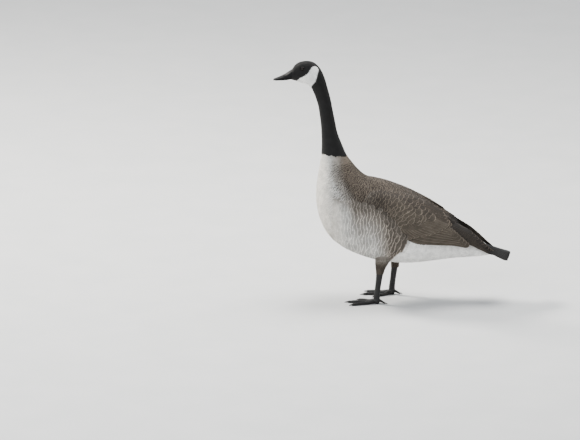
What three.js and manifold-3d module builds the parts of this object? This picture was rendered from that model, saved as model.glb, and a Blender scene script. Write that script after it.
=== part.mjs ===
// A standing Canada goose, life size, alert: neck up, breast high, tail low.
// Millimetres, +Z up. The bird faces -Y, its left side is +X, and its feet stand on z = 0.
// The origin is on the floor under the middle of the bird's bounding box.
import * as THREE from "three";
import { mergeVertices } from "three/addons/utils/BufferGeometryUtils.js";
import Module from "manifold-3d";

// ---- Named sizes -------------------------------------------------------------------------------
const GAP = 0.3; // clearance left between neighbouring pieces
const EYE_RADIUS = 5.4;
const EYE_CENTRE = [12.7, -221.6, 593.6]; // of the left eye; the right one is its mirror image
const TOE_WIDTH = 5.2; // half width of a toe at its root
const SOLE_SINK = 1.3; // how much of each round toe pad is flattened where it bears on the floor
const WEB_THICKNESS = 1.7;
const CLAW_LENGTH = { long: 11, short: 7 };

// Head, neck and trunk are one run of ribs. Each rib is a plane across the bird, given by the point
// where it meets the back line (dorsal y, z), the point where it meets the front or belly line
// (ventral y, z), its half width, how far up from the belly line it is widest, and its squareness.
const RIBS = [
  // name, dorsal y, z, ventral y, z, half width, widest at, squareness
  ["bill_base", -246.1, 591.5, -252.2, 564.6, 12, 0.46, 2.1],
  ["lores", -240.2, 599.9, -243.6, 562.2, 14.3, 0.45, 2.1],
  ["brow", -231.5, 606.4, -232.7, 559.4, 16.8, 0.44, 2.1],
  ["eye", -220.4, 609.7, -221.4, 555.4, 18.8, 0.43, 2.1],
  ["cheek", -208.1, 610.3, -211, 552.1, 20.3, 0.43, 2.1],
  ["crown", -195.7, 607.5, -203.1, 546.6, 20.3, 0.44, 2.1],
  ["nape", -183.4, 598.3, -198.1, 539.7, 19.2, 0.47, 2.05],
  ["nape_low", -174, 584.4, -195, 532.6, 17.8, 0.49, 2],
  ["neck_top", -166.3, 565.6, -191.5, 524.4, 17, 0.5, 2],
  ["neck_1", -159.1, 540.2, -187.1, 511.6, 16.6, 0.5, 2],
  ["neck_2", -152.1, 513.6, -182.2, 493.8, 16.6, 0.5, 2],
  ["neck_3", -146.1, 483.1, -178.7, 470.8, 16.9, 0.5, 2],
  ["neck_4", -140.6, 455.2, -176, 447.8, 17.5, 0.5, 2],
  ["neck_5", -135, 428.5, -174.4, 422.2, 18.6, 0.5, 2],
  ["neck_6", -125.2, 402.2, -174, 396.7, 21.5, 0.5, 2],
  ["neck_base", -112.8, 373.3, -175.2, 371.5, 26, 0.5, 2.05],
  ["shoulder_1", -99.6, 354.3, -178.5, 346.8, 33.5, 0.5, 2.1],
  ["shoulder_2", -86.2, 337.6, -183.5, 317.4, 43.5, 0.49, 2.15],
  ["shoulder_3", -71.2, 323.2, -187.2, 284.3, 54, 0.48, 2.2],
  ["breast_1", -55.1, 313.3, -186.3, 246.1, 64, 0.47, 2.2],
  ["breast_2", -37.6, 308.8, -176.5, 205.3, 72, 0.46, 2.2],
  ["breast_3", -19, 303.9, -154.1, 165.6, 78, 0.45, 2.2],
  ["belly_1", 0, 296.4, -120.4, 138, 81, 0.45, 2.2],
  ["belly_2", 21.4, 285, -81.6, 119.6, 81.5, 0.45, 2.2],
  ["belly_3", 45.3, 270.1, -42.9, 107.3, 79, 0.45, 2.2],
  ["belly_4", 69.8, 253.7, -5.5, 100.6, 75, 0.45, 2.2],
  ["rump_1", 94.3, 237.3, 30.7, 97.7, 69, 0.46, 2.2],
  ["rump_2", 119.3, 220.9, 65.6, 98.6, 61, 0.47, 2.15],
  ["rump_3", 143.3, 206, 99.3, 101.8, 52.5, 0.48, 2.1],
  ["vent_1", 167.3, 192, 131.7, 105.8, 43.5, 0.49, 2.1],
  ["vent_2", 191.4, 176.1, 162.9, 108.7, 35, 0.5, 2.1],
  ["vent_3", 213.5, 160.1, 191.5, 110.4, 27.5, 0.5, 2.1],
  ["coverts_1", 231.6, 145.7, 216, 112.2, 21.5, 0.5, 2.1],
  ["coverts_2", 244.7, 134.2, 235.9, 114.6, 15.5, 0.5, 2.1],
  ["coverts_end", 252.7, 126.2, 247.8, 117.2, 9, 0.5, 2.1],
];

// A folded wing is a shell from its upper edge, beside the back line, to its lower edge on the flank.
const WING = [
  // upper edge y, z, x, lower edge y, z, x, outward bulge, thickness
  [-80, 292, 44, -91, 277, 60, 3, 10],
  [-60, 297, 44, -77, 266, 72, 8, 16],
  [-30, 297.5, 41, -51, 252, 81, 14, 22],
  [8, 290.5, 36, -20, 234, 84, 18, 25],
  [44, 277.5, 32, 8, 212, 85, 21, 26],
  [76, 262, 28.5, 34, 178, 82, 23, 26],
  [104, 246, 26, 66, 161.5, 75, 23, 25],
  [136, 225.5, 24, 110, 156, 67, 18.5, 21],
  [172, 201.5, 22, 156, 152.5, 57, 13, 14.5],
  [208, 178.5, 20, 196, 142.5, 47, 7.5, 8],
  [240, 154.5, 18.5, 229, 128.5, 39, 4, 4.2],
  [263, 135, 20.5, 256, 117.8, 32, 1.8, 2.4],
];
const WING_LIFT = 3.2; // the least the folded wing stands proud of the flank
const PRIMARIES_START = 8.1; // where on the wing's run the bare flight feathers begin

// The tail is a shallow roof of overlapping feathers.
const TAIL = [
  // y, z of the mid line, half width, how far the sides hang below it, thickness
  [203, 151.5, 19, 4, 9],
  [226, 142.5, 29, 6, 7.5],
  [250, 133, 39, 7.6, 6],
  [272, 125, 47.5, 8.6, 4.6],
  [288, 119.5, 52.5, 9.2, 3.6],
];
const TAIL_END_BOW = 9; // how far the middle tail feathers reach past the outer ones

// Upper and lower bill: dorsal y, z, ventral y, z, half width.
const BILL_UPPER = [
  [-246.5, 590.7, -251, 570, 11.8],
  [-255, 584.2, -258.4, 568.7, 11.6],
  [-264.8, 577.6, -267.3, 567.3, 11.2],
  [-274.7, 572.4, -276.2, 566.2, 10.6],
  [-283.6, 568.6, -284.6, 564.9, 9.7],
  [-289.9, 566, -290.3, 563.2, 7.8],
  [-294, 563.8, -294, 561.6, 4],
];
const BILL_LOWER = [
  [-251.4, 570.2, -252.6, 564.6, 10],
  [-258.9, 568.8, -260.1, 563, 9.7],
  [-267.8, 567.2, -268.3, 562.2, 9.3],
  [-276.7, 566.1, -276.9, 561.8, 8.6],
  [-284.6, 564.6, -284.7, 561.5, 7.4],
  [-289.6, 563, -289.6, 561, 5],
];

// Each leg: the feathered tibia, the ankle joint, the shank and the foot.
const LEGS = {
  left: { side: 1, ankle: [41, -29, 85.5], heel: [43, -36.5, 14], toeIn: 6, hem: 4 },
  right: { side: -1, ankle: [41, 10, 84.5], heel: [43, 3, 14], toeIn: 6, hem: 8 },
};
const TOES = [
  // name, direction in degrees out from straight ahead, length without claw
  ["inner", -27, 51],
  ["middle", 0, 70],
  ["outer", 24, 64],
];
const HIND_TOE = { length: 16, rise: 6.4, radius: 3.2 };
const PAD = { radius: 8.4, height: 7.6 }; // the ball of the foot, flattened where it bears on the floor

// ---- Curves and sections -----------------------------------------------------------------------
// A smooth run through rows of numbers, one value for each column.
function along(rows, t, from = 0) {
  const i = Math.min(Math.max(Math.floor(t), 0), rows.length - 2);
  const f = t - i;
  const at = (k) => rows[Math.min(Math.max(k, 0), rows.length - 1)].slice(from);
  const [a, b, c, d] = [at(i - 1), at(i), at(i + 1), at(i + 2)];
  return b.map((_, k) => {
    const p = i === 0 ? 2 * b[k] - c[k] : a[k];
    const q = i === rows.length - 2 ? 2 * c[k] - b[k] : d[k];
    return (
      0.5 *
      (2 * b[k] +
        (c[k] - p) * f +
        (2 * p - 5 * b[k] + 4 * c[k] - q) * f * f +
        (3 * b[k] - p - 3 * c[k] + q) * f * f * f)
    );
  });
}

const bent = (v, power) => Math.sign(v) * Math.pow(Math.abs(v), power);

// One closed rib as points, grown outwards by `grow`.
function ribPoints(row, count, grow = 0) {
  const [dy, dz, vy, vz, w, widest = 0.5, square = 2] = row;
  const length = Math.hypot(dy - vy, dz - vz);
  const [uy, uz] = [(dy - vy) / length, (dz - vz) / length];
  const [cy, cz] = [vy + (dy - vy) * widest, vz + (dz - vz) * widest];
  const points = [];
  for (let k = 0; k < count; k++) {
    const a = (2 * Math.PI * k) / count;
    const x = (w + grow) * bent(Math.cos(a), 2 / square);
    const reach = length * (Math.sin(a) > 0 ? 1 - widest : widest) + grow;
    const h = reach * bent(Math.sin(a), 2 / square);
    points.push([x, cy + uy * h, cz + uz * h]);
  }
  return points;
}

// Joins closed loops of points, each with the same count, into a closed body with flat ends.
function skinned(loops) {
  const n = loops[0].length;
  const positions = loops.flat(2);
  const index = [];
  const quad = (a, b, c, d) => index.push(a, b, c, a, c, d);
  for (let i = 0; i + 1 < loops.length; i++)
    for (let k = 0; k < n; k++) {
      const l = (k + 1) % n;
      quad(i * n + k, i * n + l, (i + 1) * n + l, (i + 1) * n + k);
    }
  for (const [loop, start, turn] of [
    [loops[0], 0, true],
    [loops[loops.length - 1], (loops.length - 1) * n, false],
  ]) {
    const centre = positions.length / 3;
    for (let axis = 0; axis < 3; axis++)
      positions.push(loop.reduce((sum, p) => sum + p[axis], 0) / n);
    for (let k = 0; k < n; k++) {
      const l = (k + 1) % n;
      if (turn) index.push(centre, start + l, start + k);
      else index.push(centre, start + k, start + l);
    }
  }
  const g = new THREE.BufferGeometry();
  g.setAttribute("position", new THREE.Float32BufferAttribute(positions, 3));
  g.setIndex(index);
  return facingOut(g);
}

// Turns every face round if the body came out inside out.
function facingOut(g) {
  const p = g.attributes.position;
  const id = g.index.array;
  const [a, b, c] = [new THREE.Vector3(), new THREE.Vector3(), new THREE.Vector3()];
  let volume = 0;
  for (let i = 0; i < id.length; i += 3) {
    a.fromBufferAttribute(p, id[i]);
    b.fromBufferAttribute(p, id[i + 1]);
    c.fromBufferAttribute(p, id[i + 2]);
    volume += a.dot(b.cross(c));
  }
  if (volume < 0)
    for (let i = 0; i < id.length; i += 3)
      [id[i + 1], id[i + 2]] = [id[i + 2], id[i + 1]];
  return g;
}

const steps = (from, to, count) =>
  Array.from({ length: count + 1 }, (_, i) => from + ((to - from) * i) / count);

const ribRun = (table, from, to, count, around, grow = 0, skip = 0) =>
  skinned(
    steps(from, to, count).map((t) => ribPoints(along(table, t, skip), around, grow)),
  );

// A round limb through stations of centre x, y, z and half widths across (x) and along (y).
function limb(stations, count, around, grow = 0) {
  return skinned(
    steps(0, stations.length - 1, count).map((t) => {
      const [x, y, z, across, deep] = along(stations, t);
      return Array.from({ length: around }, (_, k) => {
        const a = (2 * Math.PI * k) / around;
        return [
          x + (across + grow) * Math.cos(a),
          y + (deep + grow) * Math.sin(a),
          z,
        ];
      });
    }),
  );
}

// ---- Joining and cutting -----------------------------------------------------------------------
const wasm = await Module();
wasm.setup();

function solid(geometry) {
  const plain = new THREE.BufferGeometry();
  plain.setAttribute("position", geometry.getAttribute("position"));
  if (geometry.index) plain.setIndex(geometry.index);
  const merged = mergeVertices(plain, 1e-4);
  return new wasm.Manifold(
    new wasm.Mesh({
      numProp: 3,
      vertProperties: new Float32Array(merged.attributes.position.array),
      triVerts: new Uint32Array(merged.index.array),
    }),
  );
}

// The largest body left after a cut, as geometry.
function geometryOf(cut) {
  const bodies = cut.decompose().sort((a, b) => b.volume() - a.volume());
  const mesh = bodies[0].getMesh();
  const g = new THREE.BufferGeometry();
  const v = new Float32Array(mesh.numVert * 3);
  for (let i = 0; i < mesh.numVert; i++)
    v.set(mesh.vertProperties.subarray(i * mesh.numProp, i * mesh.numProp + 3), i * 3);
  g.setAttribute("position", new THREE.BufferAttribute(v, 3));
  g.setIndex(new THREE.BufferAttribute(new Uint32Array(mesh.triVerts), 1));
  return g;
}

function mirrored(geometry) {
  const g = geometry.clone().scale(-1, 1, 1);
  const id = g.index.array;
  for (let i = 0; i < id.length; i += 3) [id[i + 1], id[i + 2]] = [id[i + 2], id[i + 1]];
  return g;
}

const ball = (radius, centre, across = 20, down = 14) =>
  new THREE.SphereGeometry(radius, across, down).translate(...centre);

// ---- Trunk, neck and head ----------------------------------------------------------------------
const at = Object.fromEntries(RIBS.map((r, i) => [r[0], i]));
const BODY = RIBS.map((r) => r.slice(1));
const half = 0.012; // half a gap, on the run of ribs
const trunkRun = [at.neck_base + half, at.coverts_end];
const trunkLoops = 32;
const trunkAround = 26;
const trunkGrown = solid(ribRun(BODY, ...trunkRun, trunkLoops, trunkAround, GAP));

const eyeBall = (grow) => ball(EYE_RADIUS + grow, EYE_CENTRE, 11, 7);
const eye = eyeBall(0);
const socket = solid(eyeBall(GAP));
const socketRight = solid(mirrored(eyeBall(GAP)));
const headGeometry = geometryOf(
  solid(ribRun(BODY, 0, at.neck_top - half, 14, 22))
    .subtract(socket)
    .subtract(socketRight),
);
const neckUpper = ribRun(BODY, at.neck_top + half, at.neck_4 - half, 8, 18);
const neckLower = ribRun(BODY, at.neck_4 + half, at.neck_base - half, 6, 20);

// ---- Bill --------------------------------------------------------------------------------------
const billRow = (r) => [...r, 0.34, 2.3];
const headGrown = solid(ribRun(BODY, 0, at.crown, 8, 22, GAP));
const billUpper = geometryOf(
  solid(ribRun(BILL_UPPER.map(billRow), -0.35, BILL_UPPER.length - 1, 8, 14)).subtract(headGrown),
);
const billLower = geometryOf(
  solid(
    ribRun(BILL_LOWER.map((r) => [...r, 0.62, 2.3]), -0.3, BILL_LOWER.length - 1, 6, 10),
  )
    .subtract(headGrown)
    .subtract(solid(ribRun(BILL_UPPER.map(billRow), -0.35, BILL_UPPER.length - 1, 8, 14, GAP))),
);

// ---- Wings -------------------------------------------------------------------------------------
// Whether a point lies inside the trunk, found from the rib whose plane passes through it.
function insideTrunk(x, y, z) {
  let [near, far] = [at.shoulder_1, at.coverts_end];
  for (let i = 0; i < 22; i++) {
    const t = (near + far) / 2;
    const [dy, dz, vy, vz] = along(BODY, t);
    if ((dy - vy) * (z - vz) - (dz - vz) * (y - vy) < 0) near = t;
    else far = t;
  }
  const [dy, dz, vy, vz, w, widest, square] = along(BODY, (near + far) / 2);
  const length = Math.hypot(dy - vy, dz - vz);
  const h = ((y - vy) * (dy - vy) + (z - vz) * (dz - vz)) / length - length * widest;
  const reach = length * (h > 0 ? 1 - widest : widest);
  if (far >= at.coverts_end - 0.01) return false;
  return Math.pow(Math.abs(x) / w, square) + Math.pow(Math.abs(h) / reach, square) < 1;
}
// How far a point inside the trunk is from its surface along a direction.
function coverOver(point, direction) {
  let [inside, outside] = [0, 60];
  const test = (d) => insideTrunk(...point.map((v, i) => v + direction[i] * d));
  if (!test(0)) return -4;
  for (let i = 0; i < 16; i++) {
    const d = (inside + outside) / 2;
    if (test(d)) inside = d;
    else outside = d;
  }
  return inside;
}
const smoothMax = (a, b, k) => {
  const h = Math.max(k - Math.abs(a - b), 0) / k;
  return Math.max(a, b) + h * h * k * 0.25;
};
function wingLoop(t, outer = 6) {
  const [uy, uz, ux, ly, lz, lx, bulge, thick] = along(WING, t);
  const chord = [lx - ux, ly - uy, lz - uz];
  const length = Math.hypot(uz - lz, lx - ux);
  const out = [(uz - lz) / length, 0, (lx - ux) / length];
  const point = (v, lift) =>
    [ux, uy, uz].map((p, i) => p + chord[i] * v + out[i] * lift);
  const arch = (v) => 4 * v * (1 - v);
  const loop = [];
  for (const v of steps(0, 1, outer)) {
    const cover = coverOver(point(v, 0), out) + WING_LIFT;
    loop.push(point(v, smoothMax(bulge * arch(v) + 0.6, cover, 4)));
  }
  for (const v of steps(1, 0, outer))
    loop.push(point(v, bulge * arch(v) - thick * (0.35 + 0.65 * arch(v))));
  return loop;
}
const wingSpan = (from, to, count) => skinned(steps(from, to, count).map((t) => wingLoop(t)));

const tailLoop = ([y, z, w, hang, thick], grow = 0, bow = 0) => {
  const n = 8;
  const top = steps(-1, 1, n).map((v) => [
    v * (w + grow),
    y + bow * (1 - v * v),
    z - hang * v * v + thick / 2 + grow,
  ]);
  const under = steps(1, -1, n).map((v) => [
    v * (w + grow),
    y + bow * (1 - v * v),
    z - hang * v * v - thick / 2 - grow,
  ]);
  return [...top, ...under];
};
const tailBody = (grow) =>
  skinned(
    steps(0, TAIL.length - 1, 6).map((t) =>
      tailLoop(along(TAIL, t), grow, TAIL_END_BOW * Math.pow(t / (TAIL.length - 1), 3)),
    ),
  );
const tail = geometryOf(solid(tailBody(0)).subtract(trunkGrown));
const tailGrown = solid(tailBody(GAP));
const wingEnd = WING.length - 1;
const wing = geometryOf(
  solid(wingSpan(0, PRIMARIES_START - half, 12)).subtract(trunkGrown),
);
const primaries = geometryOf(
  solid(wingSpan(PRIMARIES_START + half, wingEnd, 5))
    .subtract(trunkGrown)
    .subtract(tailGrown),
);

// ---- Legs --------------------------------------------------------------------------------------
function legPieces({ side, ankle, heel, toeIn, hem }) {
  const [ax, ay, az] = ankle;
  const [hx, hy, hz] = heel;
  const thigh = limb(
    [
      [ax - 3, ay + 20, az + 58, 26, 32],
      [ax - 1, ay + 10, az + 34, 21, 22],
      [ax, ay + 3.5, az + 14, 13.5, 15],
      [ax, ay + 1, az + 1, 9.4, 11],
      [ax, ay + 0.5, az - hem, 8.6, 10.2],
    ],
    5,
    12,
  );
  const shank = limb(
    [
      [ax, ay, az - 2, 5.4, 6.4],
      [ax, ay - 0.5, az - 9, 7.4, 9],
      [ax + (hx - ax) * 0.3, ay + (hy - ay) * 0.27, az - 22, 5.7, 8],
      [ax + (hx - ax) * 0.7, ay + (hy - ay) * 0.68, az - 46, 5.3, 7.3],
      [hx, hy + 0.4, hz + 10, 6.2, 7.6],
      [hx, hy, hz + 1, 7, 8],
    ],
    6,
    10,
  );
  const turn = THREE.MathUtils.degToRad(toeIn);
  const outward = (degrees) => {
    const a = THREE.MathUtils.degToRad(degrees) - turn;
    return [Math.sin(a), -Math.cos(a)];
  };
  const lie = TOE_WIDTH - SOLE_SINK;
  // A toe runs from the joint under the shank down to the floor and forward to its claw.
  const toe = (degrees, length) => {
    const [dx, dy] = outward(degrees);
    const station = (reach, z, r) => [hx + dx * reach, hy + dy * reach, z, r];
    const stations = [
      station(-3, hz - 4.2, 6),
      station(8, hz - 6.8, TOE_WIDTH),
      station(length * 0.4, lie + 0.1, TOE_WIDTH * 0.92),
      station(length * 0.72, lie - 0.5, TOE_WIDTH * 0.8),
      station(length, lie - 1.1, TOE_WIDTH * 0.62),
    ];
    return skinned(
      steps(0, stations.length - 1, 5).map((t) => {
        const [x, y, z, r] = along(stations, t);
        return Array.from({ length: 8 }, (_, k) => {
          const a = (2 * Math.PI * (k + 0.5)) / 8;
          return [x - dy * r * Math.cos(a), y + dx * r * Math.cos(a), z + r * Math.sin(a)];
        });
      }),
    );
  };
  const floor = solid(new THREE.BoxGeometry(600, 600, 50).translate(0, 0, -25));
  const spread = TOES.map(([, degrees, length]) => ({ degrees, length }));
  let foot = solid(ball(PAD.radius, [hx, hy, PAD.height], 10, 6));
  for (const { degrees, length } of spread) foot = foot.add(solid(toe(degrees, length)));
  // The webs reach from toe to toe, hollowed a little at the front.
  for (let i = 0; i < 2; i++) {
    const [a, b] = [spread[i], spread[i + 1]];
    const outline = new THREE.Shape();
    outline.moveTo(hx, hy);
    const tip = (t, share) => {
      const [dx, dy] = outward(t.degrees);
      return [hx + dx * t.length * share, hy + dy * t.length * share];
    };
    outline.lineTo(...tip(a, 0.93));
    const mid = outward((a.degrees + b.degrees) / 2);
    const reach = 0.74 * Math.min(a.length, b.length);
    outline.quadraticCurveTo(hx + mid[0] * reach, hy + mid[1] * reach, ...tip(b, 0.93));
    outline.closePath();
    const web = new THREE.ExtrudeGeometry(outline, {
      depth: WEB_THICKNESS,
      bevelEnabled: false,
      curveSegments: 5,
    }).translate(0, 0, 0.5);
    foot = foot.add(solid(web));
  }
  const [bx, by] = outward(180);
  const hindStations = [
    [hx + bx * 3, hy + by * 3, HIND_TOE.rise + 5, HIND_TOE.radius + 0.8],
    [hx + bx * 12, hy + by * 12, HIND_TOE.rise, HIND_TOE.radius],
    [hx + bx * (4 + HIND_TOE.length), hy + by * (4 + HIND_TOE.length), HIND_TOE.radius * 0.6, HIND_TOE.radius * 0.78],
  ];
  const hind = skinned(
    steps(0, 2, 2).map((t) => {
      const [x, y, z, r] = along(hindStations, t);
      return Array.from({ length: 7 }, (_, k) => {
        const a = (2 * Math.PI * (k + 0.25)) / 7;
        return [x - by * r * Math.cos(a), y + bx * r * Math.cos(a), z + r * Math.sin(a)];
      });
    }),
  );
  foot = foot.add(solid(hind)).subtract(floor);
  const shankCut = solid(shank)
    .subtract(solid(ball(PAD.radius + GAP, [hx, hy, PAD.height], 10, 6)))
    .subtract(foot.translate([0, 0, GAP]))
    .subtract(foot);
  const shankTop = limb(
    [
      [ax, ay, az + 3, 5.9, 6.9],
      [ax, ay, az - 2, 6, 7.2],
      [ax, ay - 0.5, az - 9, 8.2, 9.8],
      [ax, ay - 0.5, az - 16, 8.2, 9.8],
    ],
    3,
    10,
  );
  const thighCut = solid(thigh).subtract(trunkGrown).subtract(solid(shankTop));
  // Claws: short curved cones ahead of each toe, just clear of the floor.
  const claw = (tipX, tipY, z, dx, dy, length, radius) => {
    const loops = steps(0, 1, 3).map((f) => {
      const r = radius * Math.sqrt(1 - f * 0.93);
      const drop = 1.5 * f * f;
      return Array.from({ length: 6 }, (_, k) => {
        const a = (2 * Math.PI * k) / 6;
        return [
          tipX + dx * length * f - dy * r * Math.cos(a),
          tipY + dy * length * f + dx * r * Math.cos(a),
          z + r * Math.sin(a) * 0.85 - drop,
        ];
      });
    });
    return skinned(loops);
  };
  const claws = spread.map(({ degrees, length }, i) => {
    const [dx, dy] = outward(degrees);
    const reach = length + GAP;
    return [
      TOES[i][0],
      claw(hx + dx * reach, hy + dy * reach, 2.95, dx, dy, i === 1 ? CLAW_LENGTH.long : CLAW_LENGTH.long - 2, 2.3),
    ];
  });
  const hindReach = 4 + HIND_TOE.length + GAP;
  claws.push([
    "hind",
    claw(hx + bx * hindReach, hy + by * hindReach, 2.5, bx, by, CLAW_LENGTH.short, 1.7),
  ]);
  const placed = (g) => (side > 0 ? g : mirrored(g));
  return {
    thigh: placed(geometryOf(thighCut)),
    shank: placed(geometryOf(shankCut)),
    foot: placed(geometryOf(foot)),
    claws: claws.map(([name, g]) => [name, placed(g)]),
  };
}

// ---- Materials, from the bird's colours --------------------------------------------------------
const finish = (color, roughness, metalness = 0) =>
  new THREE.MeshStandardMaterial({ color, roughness, metalness });
const BLACK_PLUMAGE = finish(0x15130f, 0.8);
const PALE_PLUMAGE = finish(0xb9ad9b, 0.85);
const BROWN_PLUMAGE = finish(0x5d5145, 0.8);
const FLIGHT_FEATHER = finish(0x1d1a17, 0.7);
const BILL_HORN = finish(0x121214, 0.35);
const LEG_SCALE = finish(0x1f1f1f, 0.5);
const EYE_GLOSS = finish(0x0c0806, 0.08);

// ---- The bird ----------------------------------------------------------------------------------
const goose = new THREE.Group();
const put = (name, geometry, material) => {
  const mesh = new THREE.Mesh(geometry, material);
  mesh.name = name;
  goose.add(mesh);
};
put("head", headGeometry, BLACK_PLUMAGE);
put("bill_upper", billUpper, BILL_HORN);
put("bill_lower", billLower, BILL_HORN);
put("eye_left", eye, EYE_GLOSS);
put("eye_right", mirrored(eye), EYE_GLOSS);
put("neck_upper", neckUpper, BLACK_PLUMAGE);
put("neck_lower", neckLower, BLACK_PLUMAGE);
const legs = Object.entries(LEGS).map(([name, leg]) => [name, legPieces(leg)]);
put("trunk", ribRun(BODY, ...trunkRun, trunkLoops, trunkAround), PALE_PLUMAGE);
put("tail", tail, FLIGHT_FEATHER);
put("wing_left", wing, BROWN_PLUMAGE);
put("wing_right", mirrored(wing), BROWN_PLUMAGE);
put("primaries_left", primaries, FLIGHT_FEATHER);
put("primaries_right", mirrored(primaries), FLIGHT_FEATHER);
for (const [name, leg] of legs) {
  put("thigh_" + name, leg.thigh, PALE_PLUMAGE);
  put("shank_" + name, leg.shank, LEG_SCALE);
  put("foot_" + name, leg.foot, LEG_SCALE);
  for (const [toe, claw] of leg.claws) put(`claw_${toe}_${name}`, claw, BILL_HORN);
}

// The origin goes to the middle of the bird's length; it stands symmetrically about x = 0.
const box = new THREE.Box3().setFromObject(goose);
for (const mesh of goose.children) mesh.geometry.translate(0, -(box.min.y + box.max.y) / 2, 0);
export default goose;
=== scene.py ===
import math

import bpy
import numpy as np
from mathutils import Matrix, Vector
from mathutils.bvhtree import BVHTree


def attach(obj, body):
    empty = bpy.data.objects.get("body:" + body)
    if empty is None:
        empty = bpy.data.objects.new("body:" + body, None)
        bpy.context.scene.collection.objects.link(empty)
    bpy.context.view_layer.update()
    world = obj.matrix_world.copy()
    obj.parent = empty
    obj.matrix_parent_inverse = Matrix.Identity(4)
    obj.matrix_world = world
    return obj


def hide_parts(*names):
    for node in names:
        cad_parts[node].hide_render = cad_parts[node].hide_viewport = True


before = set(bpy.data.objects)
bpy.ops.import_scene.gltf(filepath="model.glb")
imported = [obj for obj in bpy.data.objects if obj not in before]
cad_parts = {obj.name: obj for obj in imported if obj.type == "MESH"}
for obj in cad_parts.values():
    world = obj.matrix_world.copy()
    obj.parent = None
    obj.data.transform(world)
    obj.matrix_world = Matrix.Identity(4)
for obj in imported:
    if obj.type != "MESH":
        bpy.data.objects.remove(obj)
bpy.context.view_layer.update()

# A standing Canada goose, life size. Sizes below are in millimetres in the part's own axes before
# it is centred, with the bird facing -Y and its left side at +X; CENTRE moves them to the frame.
MM = 0.001
CENTRE = np.array([0.0, -1.5, 0.0])
rng = np.random.default_rng(7)

# ---- The forms ---------------------------------------------------------------------------------
# Ribs of head, neck and trunk: dorsal y, z, ventral y, z, half width, widest at, squareness.
RIBS = np.array(
    [
        [-246.1, 591.5, -252.2, 564.6, 12, 0.46, 2.1],
        [-240.2, 599.9, -243.6, 562.2, 14.3, 0.45, 2.1],
        [-231.5, 606.4, -232.7, 559.4, 16.8, 0.44, 2.1],
        [-220.4, 609.7, -221.4, 555.4, 18.8, 0.43, 2.1],
        [-208.1, 610.3, -211, 552.1, 20.3, 0.43, 2.1],
        [-195.7, 607.5, -203.1, 546.6, 20.3, 0.44, 2.1],
        [-183.4, 598.3, -198.1, 539.7, 19.2, 0.47, 2.05],
        [-174, 584.4, -195, 532.6, 17.8, 0.49, 2],
        [-166.3, 565.6, -191.5, 524.4, 17, 0.5, 2],
        [-159.1, 540.2, -187.1, 511.6, 16.6, 0.5, 2],
        [-152.1, 513.6, -182.2, 493.8, 16.6, 0.5, 2],
        [-146.1, 483.1, -178.7, 470.8, 16.9, 0.5, 2],
        [-140.6, 455.2, -176, 447.8, 17.5, 0.5, 2],
        [-135, 428.5, -174.4, 422.2, 18.6, 0.5, 2],
        [-125.2, 402.2, -174, 396.7, 21.5, 0.5, 2],
        [-112.8, 373.3, -175.2, 371.5, 26, 0.5, 2.05],
        [-99.6, 354.3, -178.5, 346.8, 33.5, 0.5, 2.1],
        [-86.2, 337.6, -183.5, 317.4, 43.5, 0.49, 2.15],
        [-71.2, 323.2, -187.2, 284.3, 54, 0.48, 2.2],
        [-55.1, 313.3, -186.3, 246.1, 64, 0.47, 2.2],
        [-37.6, 308.8, -176.5, 205.3, 72, 0.46, 2.2],
        [-19, 303.9, -154.1, 165.6, 78, 0.45, 2.2],
        [0, 296.4, -120.4, 138, 81, 0.45, 2.2],
        [21.4, 285, -81.6, 119.6, 81.5, 0.45, 2.2],
        [45.3, 270.1, -42.9, 107.3, 79, 0.45, 2.2],
        [69.8, 253.7, -5.5, 100.6, 75, 0.45, 2.2],
        [94.3, 237.3, 30.7, 97.7, 69, 0.46, 2.2],
        [119.3, 220.9, 65.6, 98.6, 61, 0.47, 2.15],
        [143.3, 206, 99.3, 101.8, 52.5, 0.48, 2.1],
        [167.3, 192, 131.7, 105.8, 43.5, 0.49, 2.1],
        [191.4, 176.1, 162.9, 108.7, 35, 0.5, 2.1],
        [213.5, 160.1, 191.5, 110.4, 27.5, 0.5, 2.1],
        [231.6, 145.7, 216, 112.2, 21.5, 0.5, 2.1],
        [244.7, 134.2, 235.9, 114.6, 15.5, 0.5, 2.1],
        [252.7, 126.2, 247.8, 117.2, 9, 0.5, 2.1],
    ]
)
# The folded wing: upper edge y, z, x, lower edge y, z, x, outward bulge, thickness.
WING = np.array(
    [
        [-80, 292, 44, -91, 277, 60, 3, 10],
        [-60, 297, 44, -77, 266, 72, 8, 16],
        [-30, 297.5, 41, -51, 252, 81, 14, 22],
        [8, 290.5, 36, -20, 234, 84, 18, 25],
        [44, 277.5, 32, 8, 212, 85, 21, 26],
        [76, 262, 28.5, 34, 178, 82, 23, 26],
        [104, 246, 26, 66, 161.5, 75, 23, 25],
        [136, 225.5, 24, 110, 156, 67, 18.5, 21],
        [172, 201.5, 22, 156, 152.5, 57, 13, 14.5],
        [208, 178.5, 20, 196, 142.5, 47, 7.5, 8],
        [240, 154.5, 18.5, 229, 128.5, 39, 4, 4.2],
        [263, 135, 20.5, 256, 117.8, 32, 1.8, 2.4],
    ]
)
WING_LIFT = 3.2
# The tail: y, z of the mid line, half width, how far the sides hang, thickness.
TAIL = np.array(
    [
        [203, 151.5, 19, 4, 9],
        [226, 142.5, 29, 6, 7.5],
        [250, 133, 39, 7.6, 6],
        [272, 125, 47.5, 8.6, 4.6],
        [288, 119.5, 52.5, 9.2, 3.6],
    ]
)
TAIL_END_BOW = 9.0
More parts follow.
